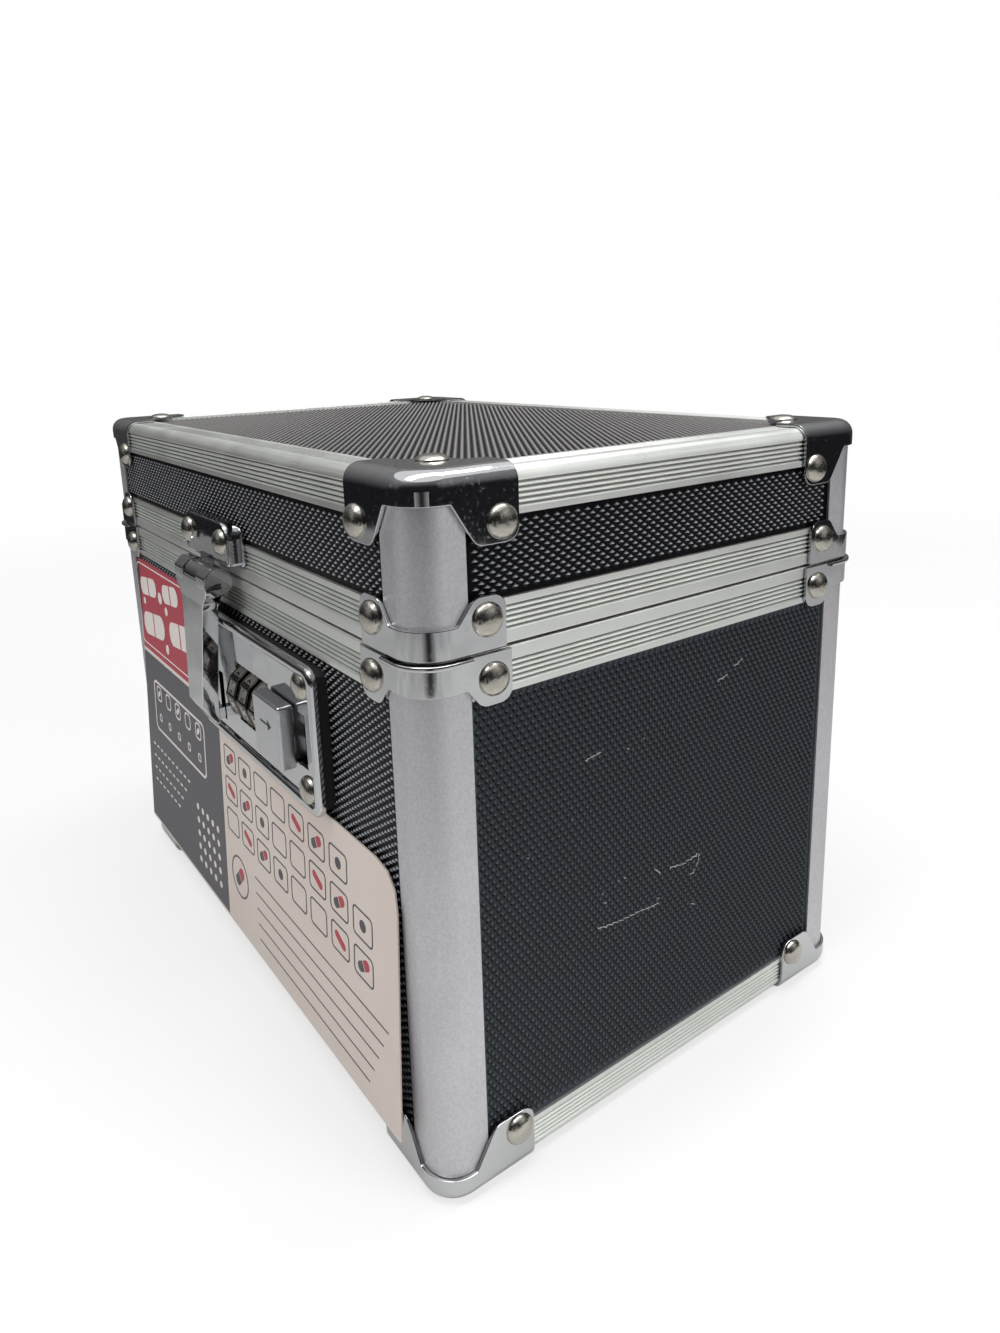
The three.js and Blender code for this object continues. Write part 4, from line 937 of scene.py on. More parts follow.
def cornerCap(prefix, sizes, level, flipped, body, flapRivet=False):
    out = cap["gap"] + cap["wall"]
    for corner in quarterNames:
        bm = bmesh.new()
        addPart(bm, trimmedShell(sizes))
        if sizes["lip"]:
            addPart(bm, seamLip(sizes))
        along, up = sizes["rivet"]
        facing = [
            Matrix.Translation((along, -out, up)) @ Matrix.Rotation(math.pi / 2, 4, "X"),
            Matrix.Translation((-out, along, up)) @ Matrix.Rotation(-math.pi / 2, 4, "Y"),
        ]
        for place in facing:
            addPart(bm, rivetHead(cap["rivetRadius"], cap["rivetHeight"]), place, 1)
        if flapRivet:
            spot = sizes["flapRivet"]
            place = Matrix.Translation((spot, spot, -out)) @ Matrix.Rotation(math.pi, 4, "X")
            addPart(bm, rivetHead(cap["rivetRadius"], sizes["flapRivetHeight"]), place, 1)
        placeAll(bm, cornerPlace(corner, level, flipped))
        node = prefix + "_" + corner
        newPiece(node + "_pressing", bm, ["chrome", "nickel"], body, [node],
                 sharpAngle=32)


cornerCap("base_cap", edgeCap, case["baseZ"], False, "body")
cornerCap("body_rim_cap", bodyRimCap, case["bodyRimZ"], True, "body")
cornerCap("lid_rim_cap", lidRimCap, case["lidRimZ"], False, "lid")
cornerCap("top_cap", edgeCap, case["topZ"], True, "lid", flapRivet=True)
print("corner caps made")


# Embossed covering on each board, as staggered rows of small pyramids

emboss = {"long": 1.44, "short": 0.975, "height": 0.52, "lift": 0.12, "edgeGap": 0.05,
          "footGap": 0.16, "footShare": 0.3, "wholeShare": 0.95}


def embossedSheet(width, height, hole, turned):
    # a grid turned by an eighth and squashed has rhombs for its cells; each is raised to a point
    across, up = emboss["long"], emboss["short"]
    if turned:
        across, up = up, across
    count = int(math.ceil(width / across / 2 + height / up / 2)) + 2
    bm = bmesh.new()
    tipShare = bm.verts.layers.float.new("tip")
    bmesh.ops.create_grid(bm, x_segments=count, y_segments=count, size=count / 2)
    turnAll(bm, math.pi / 4, "Z")
    scaleAll(bm, (across * math.sqrt(2), up * math.sqrt(2), 1))
    for point, normal in (((width / 2, 0, 0), (1, 0, 0)), ((-width / 2, 0, 0), (-1, 0, 0)),
                          ((0, height / 2, 0), (0, 1, 0)), ((0, -height / 2, 0), (0, -1, 0))):
        cutAlong(bm, bm.faces[:], point, normal, True)
    if hole:
        for point, normal in windowSides(hole):
            near = [f for f in bm.faces if any(liesIn(v.co, hole) for v in f.verts)]
            cutAlong(bm, near, point, normal)
        inside = [f for f in bm.faces if liesIn(f.calc_center_median(), hole)]
        bmesh.ops.delete(bm, geom=inside, context="FACES")
    cell = 2 * across * up
    whole = [f for f in bm.faces if f.calc_area() > emboss["wholeShare"] * cell
             and not any(e.is_boundary for e in f.edges)]
    bmesh.ops.inset_individual(bm, faces=whole, thickness=emboss["footGap"], depth=0)
    for face in whole:
        for vert in face.verts:
            vert[tipShare] = emboss["footShare"]
    tips = bmesh.ops.poke(bm, faces=whole, offset=emboss["height"], center_mode="MEAN")["verts"]
    for vert in tips:
        vert[tipShare] = 1
    closeBack(bm, [e for e in bm.edges if e.is_boundary], -emboss["lift"])
    return bm


def covering(node, place, x0, x1, y0, y1, body, hole=None, look="vinyl"):
    middle = Vector(((x0 + x1) / 2, (y0 + y1) / 2))
    gap = 2 * emboss["edgeGap"]
    cut = hole and [side - middle[count // 2] for count, side in enumerate(hole)]
    bm = embossedSheet(x1 - x0 - gap, y1 - y0 - gap, cut, look == "scuffedVinyl")
    shiftAll(bm, (*middle, emboss["lift"] - case["boardDepth"]))
    placeAll(bm, place)
    newPiece(node + "_covering", bm, [look], body, (), sharpAngle=10,
             evenNormals=False)


def wallCoverings(prefix, low, high, body, hole=None):
    for wall, quarter in wallQuarters.items():
        half = (case["halfDepth"] if quarter % 2 else case["halfWidth"]) - post["flange"]
        covering(prefix + "_" + wall + "_panel", wallPlace(wall), -half, half, low, high, body,
                 hole if wall == "front" else None,
                 "scuffedVinyl" if (prefix, wall) == ("body", "right") else "vinyl")


coverLow, coverHigh = nodeBox("lock_back_cover")
coverLap = 2.4
lockHole = (coverLow.x + coverLap, coverHigh.x - coverLap,
            coverLow.z + coverLap, coverHigh.z - coverLap)
wallCoverings("body", case["baseZ"] + rail["height"], case["bodyRimZ"] - rail["height"], "body",
              lockHole)
wallCoverings("lid", case["lidRimZ"] + rail["height"], case["topZ"] - rail["height"], "lid")
levelX, levelY = case["halfWidth"] - rail["flange"], case["halfDepth"] - rail["flange"]
topPlace = Matrix.Translation((0, 0, case["topZ"]))
basePlace = Matrix.Translation((0, 0, case["baseZ"])) @ Matrix.Rotation(math.pi, 4, "X")
covering("top_panel", topPlace, -levelX, levelX, -levelY, levelY, "lid", look="lyingVinyl")
covering("base_panel", basePlace, -levelX, levelX, -levelY, levelY, "body")
print("coverings made")


# Linings: thin foam under felt

lining = {"thickness": 1.5, "round": 2.2, "ease": 0.4, "coverGap": 0.3}


def liningTray(node, openUp, body, hole=None):
    low, high = nodeBox(node)
    low.y -= case["middleY"]
    high.y -= case["middleY"]
    bm = cubeBetween(low, high)
    openFace = [f for f in bm.faces if f.normal.z * (1 if openUp else -1) > 0.5]
    bmesh.ops.delete(bm, geom=openFace, context="FACES")
    bevelEdges(bm, [e for e in bm.edges if len(e.link_faces) == 2], lining["round"], segments=4)
    if hole:
        cutWindow(bm, hole, lambda f: f.normal.y < -0.9, up=2)
    bmesh.ops.solidify(bm, geom=bm.faces[:], thickness=lining["thickness"])
    easeEdges(bm, lining["ease"], angle=60)
    piece = newPiece(node + "_felt", bm, ["felt"], body, [node])


coverGap = lining["coverGap"]
liningTray("body_lining", True, "body", (coverLow.x - coverGap, coverHigh.x + coverGap,
                                         coverLow.z - coverGap, coverHigh.z + coverGap))
liningTray("lid_lining", False, "lid")
print("linings made")


# Lock plate, in the front's flat coordinates

lock = {
    "back": 2.4, "front": 3.3, "round": 4, "ease": 0.45,
    "beadWidth": 3, "beadRise": 1.1, "beadSteps": 10, "middle": 98.9,
    # windows as left, right, foot and top
    "dialWindow": (13.6, 37.2, 90.1, 107.7), "buttonWindow": (39, 59.7, 91.7, 106.1),
    "stapleSlot": (-1.9, 1.9, 86.1, 100.76),
    "rivets": ((-10.4, 86.2), (59, 86.2), (-10.4, 113.8), (59, 113.8)),
    # cheeks for the axle of the dials, and the stop behind the spring, each as left and right
    "lugs": ((11.9, 13.6), (37.2, 38.9)), "stop": (61.7, 63.1),
    "lugHalf": 3.5, "lugBack": -5.4, "lugLap": 0.2, "lugEase": 0.15,
}


def lockPlate():
    low, high = nodeBox("lock_plate")
    x0, x1, y0, y1 = low.x, high.x, low.z, high.z
    plate = flatSheet(rectanglePoints(x0, x1, y0, y1), [lock["round"]] * 4)
    plate.faces.ensure_lookup_table()
    field = plate.faces[0]
    step = math.pi / lock["beadSteps"]
    for count in range(lock["beadSteps"]):
        inward = (math.cos(count * step) - math.cos((count + 1) * step)) * lock["beadWidth"] / 2
        rise = (math.sin((count + 1) * step) - math.sin(count * step)) * lock["beadRise"]
        bmesh.ops.inset_region(plate, faces=[field], thickness=inward, depth=rise,
                               use_boundary=True, use_even_offset=True)
        field = max(plate.faces, key=lambda f: f.calc_area())
    shiftAll(plate, (0, 0, -field.calc_center_median().z))
    for window in (lock["dialWindow"], lock["buttonWindow"], lock["stapleSlot"]):
        cutWindow(plate, window, lambda f: abs(f.calc_center_median().z) < 1e-4)
    joinLevelFaces(plate)
    closeBack(plate, [e for e in plate.edges if e.is_boundary], lock["back"] - lock["front"])
    easeEdges(plate, lock["ease"], segments=3)
    bm = bmesh.new()
    addPart(bm, plate, Matrix.Translation((0, 0, lock["front"])))
    for x, y in lock["rivets"]:
        addPart(bm, rivetHead(cap["rivetRadius"], cap["rivetHeight"]),
                Matrix.Translation((x, y, lock["front"])), 1)
    low, high = lock["middle"] - lock["lugHalf"], lock["middle"] + lock["lugHalf"]
    for left, right in (*lock["lugs"], lock["stop"]):
        addPart(bm, roundedBlock((left, low, lock["lugBack"]),
                                 (right, high, lock["back"] + lock["lugLap"]), lock["lugEase"]))
    placeAll(bm, wallPlace("front"))
    newPiece("lock_plate_pressing", bm, ["chrome", "nickel"], "body", ["lock_plate"],
             sharpAngle=38)


lockPlate()


# Number dials: ten flats, each with a sunk window and its digit

dial = {
    "radius": 9, "bore": 1.65, "flats": 10, "axisOut": -1.8, "windowInset": 0.7,
    "windowDepth": 0.22, "ease": 0.6, "digitHeight": 3.9, "digitThickness": 0.12,
    "fontShare": 1.4,  # the font's size for a digit of height 1
}


def digitShape(digit):
    curve = bpy.data.curves.new("digit", "FONT")
    curve.body = str(digit)
    curve.size = dial["digitHeight"] * dial["fontShare"]
    curve.align_x = "CENTER"
    curve.align_y = "CENTER"
    curve.extrude = dial["digitThickness"] / 2
    curve.resolution_u = 3
    spare = bpy.data.objects.new("digit", curve)
    mesh = bpy.data.meshes.new_from_object(spare)
    bm = bmesh.new()
    bm.from_mesh(mesh)
    bpy.data.objects.remove(spare)
    bpy.data.curves.remove(curve)
    bpy.data.meshes.remove(mesh)
    bmesh.ops.remove_doubles(bm, verts=bm.verts, dist=1e-4)
    bmesh.ops.recalc_face_normals(bm, faces=bm.faces[:])
    return bm


def wheelFlats(wheel):
    return [f for f in wheel.faces if abs(f.normal.z) < 0.1
            and f.calc_center_median().xy.length > dial["radius"] / 2]


def numberDial(name):
    low, high = nodeBox(name)
    radius, flatCount = dial["radius"], dial["flats"]
    flatShare = math.cos(math.pi / flatCount)
    wheel = bmesh.new()
    bmesh.ops.create_cone(wheel, cap_ends=True, segments=flatCount, radius1=radius, radius2=radius,
                          depth=high.x - low.x)
    turnAll(wheel, math.pi / flatCount, "Z")
    ends = [f for f in wheel.faces if abs(f.normal.z) > 0.5]
    bmesh.ops.inset_individual(wheel, faces=ends, thickness=(radius - dial["bore"]) * flatShare,
                               depth=0)
    ends = [f for f in wheel.faces if abs(f.normal.z) > 0.5 and len(f.verts) == flatCount]
    bore = [e for f in ends for e in f.edges]
    bmesh.ops.delete(wheel, geom=ends, context="FACES_ONLY")
    bmesh.ops.bridge_loops(wheel, edges=bore)
    outer = list({e for f in wheelFlats(wheel) for e in f.edges})
    bevelEdges(wheel, outer, dial["ease"], 2)
    flats = sorted(wheelFlats(wheel), key=lambda f: -f.calc_area())[:flatCount]
    bmesh.ops.inset_individual(wheel, faces=flats, thickness=dial["windowInset"],
                               depth=-dial["windowDepth"])
    bmesh.ops.recalc_face_normals(wheel, faces=wheel.faces[:])
    for face in wheel.faces:
        face.material_index = 0 if face in flats else 2
    bm = bmesh.new()
    addPart(bm, wheel, Matrix.Rotation(math.pi / 2, 4, "Y"), None)
    flatOut = radius * flatShare - dial["windowDepth"]
    for digit in range(flatCount):
        turn = Matrix.Rotation(math.radians(360 / flatCount * digit), 4, "X")
        addPart(bm, digitShape(digit), turn @ Matrix.Translation((0, 0, flatOut)), 1)
    centre = Matrix.Translation(((low.x + high.x) / 2, lock["middle"], dial["axisOut"]))
    placeAll(bm, wallPlace("front") @ centre)
    newPiece(name + "_wheel", bm, ["satinNickel", "blackPaint", "blackNickel"], name,
             [name], sharpAngle=30)


for dialName in ("dial_left", "dial_middle", "dial_right"):
    numberDial(dialName)
print("lock plate and dials made")


# Release button with its neck and slide

button = {
    "left": 37.7, "width": 16.4, "half": 8.5, "back": 3.6, "front": 8, "ease": 0.75,
    "neck": (39.3, 52.5), "neckHalf": 6.9, "neckBack": 0.4, "neckLap": 1, "neckEase": 0.3,
    # slide behind the plate, as left, right, foot and top, with a pocket for the spring
    "slide": (39, 55.5, 87.3, 107.2), "slideBack": -3.1, "slideFront": 0.5, "slideEase": 0.1,
    "pocketLeft": 46.9, "pocketHalf": 1.9,
    "arrow": ((-3.6, -0.3), (1.2, -0.3), (1.2, -1.5), (3.6, 0), (1.2, 1.5), (1.2, 0.3),
              (-3.6, 0.3)),
    "arrowUp": 2, "arrowLift": 0.03, "arrowDepth": 0.2,
}


def releaseButton():
    b, middle, pocket = button, lock["middle"], button["pocketLeft"]
    bm = bmesh.new()
    addPart(bm, roundedBlock((b["left"], middle - b["half"], b["back"]),
                             (b["left"] + b["width"], middle + b["half"], b["front"]),
                             b["ease"], 4))
    left, right = b["neck"]
    addPart(bm, roundedBlock((left, middle - b["neckHalf"], b["neckBack"]),
                             (right, middle + b["neckHalf"], b["back"] + b["neckLap"]),
                             b["neckEase"]))
    x0, x1, y0, y1 = b["slide"]
    for left, right, foot, top in ((x0, pocket, y0, y1),
                                   (pocket, x1, y0, middle - b["pocketHalf"]),
                                   (pocket, x1, middle + b["pocketHalf"], y1)):
        addPart(bm, roundedBlock((left, foot, b["slideBack"]), (right, top, b["slideFront"]),
                                 b["slideEase"], 1))
    centre = b["left"] + b["width"] / 2
    front = b["front"] + b["arrowLift"]
    arrow = [(centre + x, middle + b["arrowUp"] + y) for x, y in b["arrow"]]
    addPart(bm, roundedPlate(arrow, None, front - b["arrowDepth"], front, 0), None, 1)
    placeAll(bm, wallPlace("front"))
    newPiece("release_button_cap", bm, ["wornChrome", "blackPaint"], "release",
             ["release_button"], sharpAngle=30)


releaseButton()


# Spring that returns the button: it stands against the stop

spring = {"wire": 0.3, "wireSides": 10, "radius": 1.3, "turns": 5, "stepsPerTurn": 20, "travel": 5}


def releaseSpring():
    low, high = nodeBox("release_spring")
    middle = ((low.y + high.y) / 2 - case["middleY"], (low.z + high.z) / 2)
    steps = spring["turns"] * spring["stepsPerTurn"]
    length = high.x - low.x
    rise = (length - 2 * spring["wire"]) / steps
    bm = bmesh.new()
    bmesh.ops.create_circle(bm, cap_ends=False, segments=spring["wireSides"],
                            radius=spring["wire"])
    shiftAll(bm, (low.x + spring["wire"], middle[0] + spring["radius"], middle[1]))
    bmesh.ops.spin(bm, geom=bm.verts[:] + bm.edges[:], cent=(0, *middle), axis=(1, 0, 0),
                   dvec=(rise, 0, 0), angle=2 * math.pi * spring["turns"],
                   space=Matrix.Identity(4), steps=steps, use_merge=False, use_normal_flip=False,
                   use_duplicate=False)
    bmesh.ops.holes_fill(bm, edges=bm.edges[:], sides=0)
    bmesh.ops.recalc_face_normals(bm, faces=bm.faces[:])
    coil = newPiece("release_spring_coil", bm, ["steel"], "body", ["release_spring"],
                    sharpAngle=40)
    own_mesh(coil)


releaseSpring()


# Hasp and the bracket that it hangs from

hasp = {
    "axisOut": 5.6, "axisZ": 130.8, "barrel": 4, "barrelSides": 8, "barrelEase": 0.45,
    "head": 13, "headDrop": 3.5, "notch": 5.8, "shoulder": 8.8, "tip": 5.75, "thickness": 4.9,
    "shoulderZ": 123.8, "faceFoot": 93.3, "foot": 86.6, "topOut": 9.5, "bottomOut": 11.4,
    "footOut": 7.6, "ease": 0.7, "rounds": (0, 1.5, 1.6, 0, 1.2),
    "staple": ((-1.3, 86.7, 0.5), (1.3, 90.1, 7.5)), "stapleEase": 0.25,
}
bracket = {
    "half": 17.6, "bottom": 135.4, "top": 147.6, "back": 0.1, "front": 4, "ease": 0.8,
    "round": 5, "footRound": 1, "rivet": (13.3, 142),
    "flangeHalf": 20.9, "flangeTop": 146.7, "flangeFront": 1.0, "flangeRound": 2,
    "flangeEase": 0.25,
    # knuckle round the hasp's pin, and the rib that carries it
    "knuckle": 5.5, "knuckleGap": 0.3, "knuckleEase": 0.3, "ribDepth": 3.7, "ribLap": 1,
    "ribEase": 0.2,
}


def haspLever():
    z = hasp
    outline = [(-z["head"], z["axisZ"]), (-z["head"], z["axisZ"] - z["headDrop"]),
               (-z["shoulder"], z["shoulderZ"]), (-z["tip"], z["faceFoot"]), (-z["tip"], z["foot"])]
    outline += [(-x, y) for x, y in reversed(outline)]
    lever = flatSheet(outline, [*z["rounds"], *reversed(z["rounds"])])
    for level in (z["shoulderZ"], z["faceFoot"], (z["shoulderZ"] + z["axisZ"]) / 2,
                  (z["faceFoot"] + z["foot"]) / 2):
        cutAlong(lever, lever.faces[:], (0, level, 0), (0, 1, 0))
    bmesh.ops.solidify(lever, geom=lever.faces[:], thickness=z["thickness"])
    for vert in lever.verts:
        isBack = vert.co.z < -z["thickness"] / 2
        if vert.co.y > z["shoulderZ"]:
            vert.co.z += z["topOut"]
        elif vert.co.y >= z["faceFoot"] - 1e-3:
            share = (z["shoulderZ"] - vert.co.y) / (z["shoulderZ"] - z["faceFoot"])
            vert.co.z += z["topOut"] + share * (z["bottomOut"] - z["topOut"])
        else:
            share = (z["faceFoot"] - vert.co.y) / (z["faceFoot"] - z["foot"])
            frontOut = z["bottomOut"] + share * (z["footOut"] - z["bottomOut"])
            vert.co.z = z["bottomOut"] - z["thickness"] if isBack else frontOut
    easeEdges(lever, z["ease"], segments=3, angle=25)
    for vert in lever.verts:
        vert.co.z = min(vert.co.z, z["bottomOut"])
    bm = bmesh.new()
    addPart(bm, lever)
    for left, right in ((-z["head"], -z["notch"]), (z["notch"], z["head"])):
        addPart(bm, rodAlong(z["barrel"], left, right, z["axisZ"], z["axisOut"], z["barrelEase"],
                             z["barrelSides"], easeAngle=40))
    addPart(bm, roundedBlock(*z["staple"], z["stapleEase"]))
    placeAll(bm, wallPlace("front"))
    newPiece("hasp_lever", bm, ["chrome"], "hasp", ["hasp"], sharpAngle=38)


def lidBracket():
    b = bracket
    bm = bmesh.new()
    flange = rectanglePoints(-b["flangeHalf"], b["flangeHalf"], b["bottom"], b["flangeTop"])
    addPart(bm, roundedPlate(flange, [b["flangeRound"]] * 4, b["back"], b["flangeFront"],
                             b["flangeEase"]))
    raised = rectanglePoints(-b["half"], b["half"], b["bottom"], b["top"])
    rounds = [b["footRound"]] * 2 + [b["round"]] * 2
    addPart(bm, roundedPlate(raised, rounds, b["back"], b["front"], b["ease"]))
    addPart(bm, roundedBlock((-b["knuckle"], hasp["axisZ"], hasp["axisOut"] - b["ribDepth"]),
                             (b["knuckle"], b["bottom"] + b["ribLap"], b["front"]), b["ribEase"]))
    addPart(bm, rodAlong(hasp["barrel"] - b["knuckleGap"], -b["knuckle"], b["knuckle"],
                         hasp["axisZ"], hasp["axisOut"], b["knuckleEase"]))
    for side in (-1, 1):
        addPart(bm, rivetHead(cap["rivetRadius"], cap["rivetHeight"]),
                Matrix.Translation((side * b["rivet"][0], b["rivet"][1], b["front"])), 1)
    placeAll(bm, wallPlace("front"))
    newPiece("lid_bracket_casting", bm, ["chrome", "nickel"], "lid", ["lid_bracket"],
             sharpAngle=38)


haspLever()
lidBracket()
print("button, hasp and bracket made")


# Butt hinges at the back

hinge = {"half": 14, "height": 9.2, "back": 0.1, "front": 1.1, "ease": 0.2, "barrel": 2.2,
         "out": 2.9, "middle": 4.5, "middleGap": 4.8, "space": 2.5, "rivet": (9, 5.7),
         "rivetRadius": 2.2, "rivetHeight": 1, "rivetSides": 20, "round": 1.6}


def hingeLeaf(side, upper):
    node = "hinge_lid_leaf_" + side if upper else "hinge_body_leaf_" + side
    low, high = nodeBox(node)
    seam = low.z + hinge["barrel"] if upper else high.z - hinge["barrel"]
    h = hinge
    middle = h["middle"] if upper else h["middleGap"]
    half, space, far = h["half"], h["space"], h["height"]
    if upper:
        outline = [(-half, far), (-half, space), (-middle, space), (-middle, 0)]
    else:
        outline = [(-half, far), (-half, 0), (-middle, 0), (-middle, space)]
    outline += [(-x, y) for x, y in reversed(outline)]
    rounds = [h["round"]] + [0] * 6 + [h["round"]]
    bm = bmesh.new()
    addPart(bm, roundedPlate(outline, rounds, h["back"], h["front"], h["ease"]))
    spans = [(-middle, middle)] if upper else [(-half, -middle), (middle, half)]
    for left, right in spans:
        addPart(bm, rodAlong(h["barrel"], left, right, 0, h["out"], h["ease"]))
    for end in (-1, 1):
        addPart(bm, rivetHead(h["rivetRadius"], h["rivetHeight"], h["rivetSides"]),
                Matrix.Translation((end * h["rivet"][0], h["rivet"][1], h["front"])), 1)
    if not upper:
        turnAll(bm, math.pi, "Z")
    place = wallPlace("back") @ Matrix.Translation((-(low.x + high.x) / 2, seam, 0))
    placeAll(bm, place)
    newPiece(node + "_pressing", bm, ["chrome", "nickel"], "lid" if upper else "body",
             [node], sharpAngle=32)


for hingeSide in ("left", "right"):
    hingeLeaf(hingeSide, True)
    hingeLeaf(hingeSide, False)
print("hinges made")


# Print on the card: plain capsules, tablets and bars, each a thin raised patch of ink

card = {"foot": 11.4, "footOut": 3.2, "shelf": 80.3, "shelfOut": 0.3, "top": 118.5, "topOut": -0.8,
        "thickness": 0.4, "ink": 0.05, "bendStep": 2}


def cardFront(height):
    if height < card["shelf"]:
        share = (height - card["foot"]) / (card["shelf"] - card["foot"])
        out = card["footOut"] + share * (card["shelfOut"] - card["footOut"])
    else:
        t = (height - card["shelf"]) / (card["top"] - card["shelf"])
        out = (1 - t) ** 2 * card["shelfOut"] + (2 * t - t * t) * card["topOut"]
    return out + card["thickness"]


def capsule(x, y, length, width, angle=0, side=0, gap=0.25):
    # side -1 or 1 keeps only that half, for a two-coloured capsule
    bm = bmesh.new()
    bmesh.ops.create_circle(bm, cap_ends=True, segments=22, radius=width / 2)
    for vert in bm.verts:
        vert.co.x += math.copysign((length - width) / 2, vert.co.x)
    if side:
        cutAlong(bm, bm.faces[:], (side * gap, 0, 0), (-side, 0, 0), True)
    turnAll(bm, math.radians(angle), "Z")
    shiftAll(bm, (x, y, 0))
    return bm


def frameOutline(x0, x1, y0, y1, radius, line):
    bm = flatSheet(rectanglePoints(x0, x1, y0, y1), [radius] * 4)
    bmesh.ops.inset_region(bm, faces=bm.faces[:], thickness=line, use_boundary=True,
                           use_even_offset=True)
    inner = max(bm.faces, key=lambda f: f.calc_area())
    bmesh.ops.delete(bm, geom=[inner], context="FACES")
    return bm


def printOnCard(name, look, shapes):
    bm = bmesh.new()
    for shape in shapes:
        # where the card bows, a shape needs cuts to bend with it
        lowest = min(v.co.y for v in shape.verts)
        highest = max(v.co.y for v in shape.verts)
        bend = card["bendStep"]
        if highest > card["shelf"]:
            for step in range(int(lowest / bend), int(highest / bend) + 1):
                cutAlong(shape, shape.faces[:], (0, bend * step, 0), (0, 1, 0))
        bmesh.ops.solidify(shape, geom=shape.faces[:], thickness=2 * card["ink"])
        for vert in shape.verts:
            vert.co.z += cardFront(vert.co.y) + card["ink"]
        addPart(bm, shape)
    placeAll(bm, wallPlace("front"))
    newPiece(name, bm, [look], "body", (), sharpAngle=30, evenNormals=False)


def cardPrint():
    # red head: two rows of capsules with tablets between them
    pale = [frameOutline(-97.5, -18.3, 85.4, 117, 3, 0.5)]
    for x, y, length, width, angle in ((-84.5, 109, 20, 7, 6), (-81, 95, 26, 9, 6),
                                       (-58, 111, 18, 7, 6), (-50, 98, 24, 9, 6)):
        pale.extend(capsule(x, y, length, width, angle, side, 0.6) for side in (-1, 1))
    for x, y, size in ((-70.5, 107.5, 4.4), (-91, 102.5, 2.8), (-64, 104, 3.2), (-66, 89.5, 3.6),
                       (-29, 110, 6.5), (-24, 101, 3.5), (-31, 89, 5)):
        pale.append(capsule(x, y, size, size * 0.98))
    # slate block: a dosing tray, with two rows of wells and a tick lattice below
    pale.append(frameOutline(-87, -30, 53, 73, 3, 0.9))
    for column in range(5):
        for row, size in ((0, 6), (1, 3)):
            x, y, half = -80.5 + 11 * column, 68.5 - 9.5 * row, size / 2
            pale.append(frameOutline(x - half, x + half, y - half, y + half, size * 0.35, 0.6))
        if column % 2 == 0:
            pale.append(capsule(-80.5 + 11 * column, 68.5, 3.4, 1.7, 40))
    for row in range(4):
        for column in range(10 - row):
            pale.append(capsule(-92 + 4.6 * column, 45 - 5 * row, 2.6, 0.8))
    for row in range(5):
        for column in range(5):
            pale.append(capsule(-42 + 5 * column, 19 + 5 * row, 2.4, 2.35))
    printOnCard("card_print_pale", "whiteInk", pale)

    # cream field: a sheet of boxes to tick, some with a capsule in them, above ruled lines
    slate, red = [], []
    for row in range(3):
        for column in range(8):
            x, y = -6.5 + 12.4 * column, 69.5 - 10.6 * row
            if x > 88 - 4 * (2 - row):
                continue
            slate.append(frameOutline(x - 5, x + 5, y - 4, y + 4, 1.6, 0.5))
            mark = (2 * column + 3 * row) % 5
            if mark == 0:
                red.append(capsule(x, y, 6.4, 2.8, 30, 1))
                slate.append(capsule(x, y, 6.4, 2.8, 30, -1))
            elif mark == 2:
                slate.append(capsule(x, y, 3.2, 3.15))
            elif mark == 3:
                red.append(capsule(x, y, 6.2, 2.2, -25))
    slate.append(frameOutline(-10, 4, 24, 38, 7, 0.6))
    red.append(capsule(-3, 31, 8.6, 3.8, 45, 1))
    slate.append(capsule(-3, 31, 8.6, 3.8, 45, -1))
    for row in range(5):
        slate.append(capsule(51 - row, 37.5 - 5 * row, 82 - 3 * row, 0.42))
    printOnCard("card_print_slate", "slateInk", slate)
    printOnCard("card_print_red", "redInk", red)


cardPrint()
print("card printed")

for nodeName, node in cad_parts.items():
    if nodeName.endswith("_panel"):
        look = "board"
    elif nodeName == "lock_gasket":
        look = "rubber"
    elif nodeName == "label_card":
        look = "card"
    else:
        look = "steel"
    node.data.materials.clear()
    node.data.materials.append(looks[look])
print("carried-over nodes painted")


# Floor, backdrop and lamps

room = {
    "floorHalf": 6, "radius": 0.75, "height": 0.9, "matLift": 0.0008,
    "cardPlace": (0.36, -0.23, 0.04), "cardWidth": 0.22, "cardHeight": 0.2,
}


def flatObject(name, bm, material):
    mesh = bpy.data.meshes.new(name)
    bm.to_mesh(mesh)
    bm.free()
    mesh.materials.append(material)
    piece = bpy.data.objects.new(name, mesh)
    bpy.context.scene.collection.objects.link(piece)
    return piece


def onlyForGloss(piece):
    piece.visible_camera = False
    piece.visible_diffuse = False
    piece.visible_shadow = False
    piece.visible_transmission = False


def seenDirectly(tree):
    # 1 for what the camera sees, itself or through metal or glass
    rays = addNode(tree, "ShaderNodeLightPath")
    seen = addNode(tree, "ShaderNodeMath", {"operation": "ADD", "use_clamp": True},
                   {0: rays.outputs["Is Camera Ray"], 1: rays.outputs["Is Glossy Ray"]})
    return addNode(tree, "ShaderNodeMath", {"operation": "ADD", "use_clamp": True},
                   {0: seen.outputs[0], 1: rays.outputs["Is Transmission Ray"]})


def mixOut(tree, share, first, second, output):
    mix = addNode(tree, "ShaderNodeMixShader", {}, {
        0: share.outputs[0], 1: first.outputs[0], 2: second.outputs[0]})
    tree.links.new(mix.outputs[0], tree.nodes[output].inputs["Surface"])


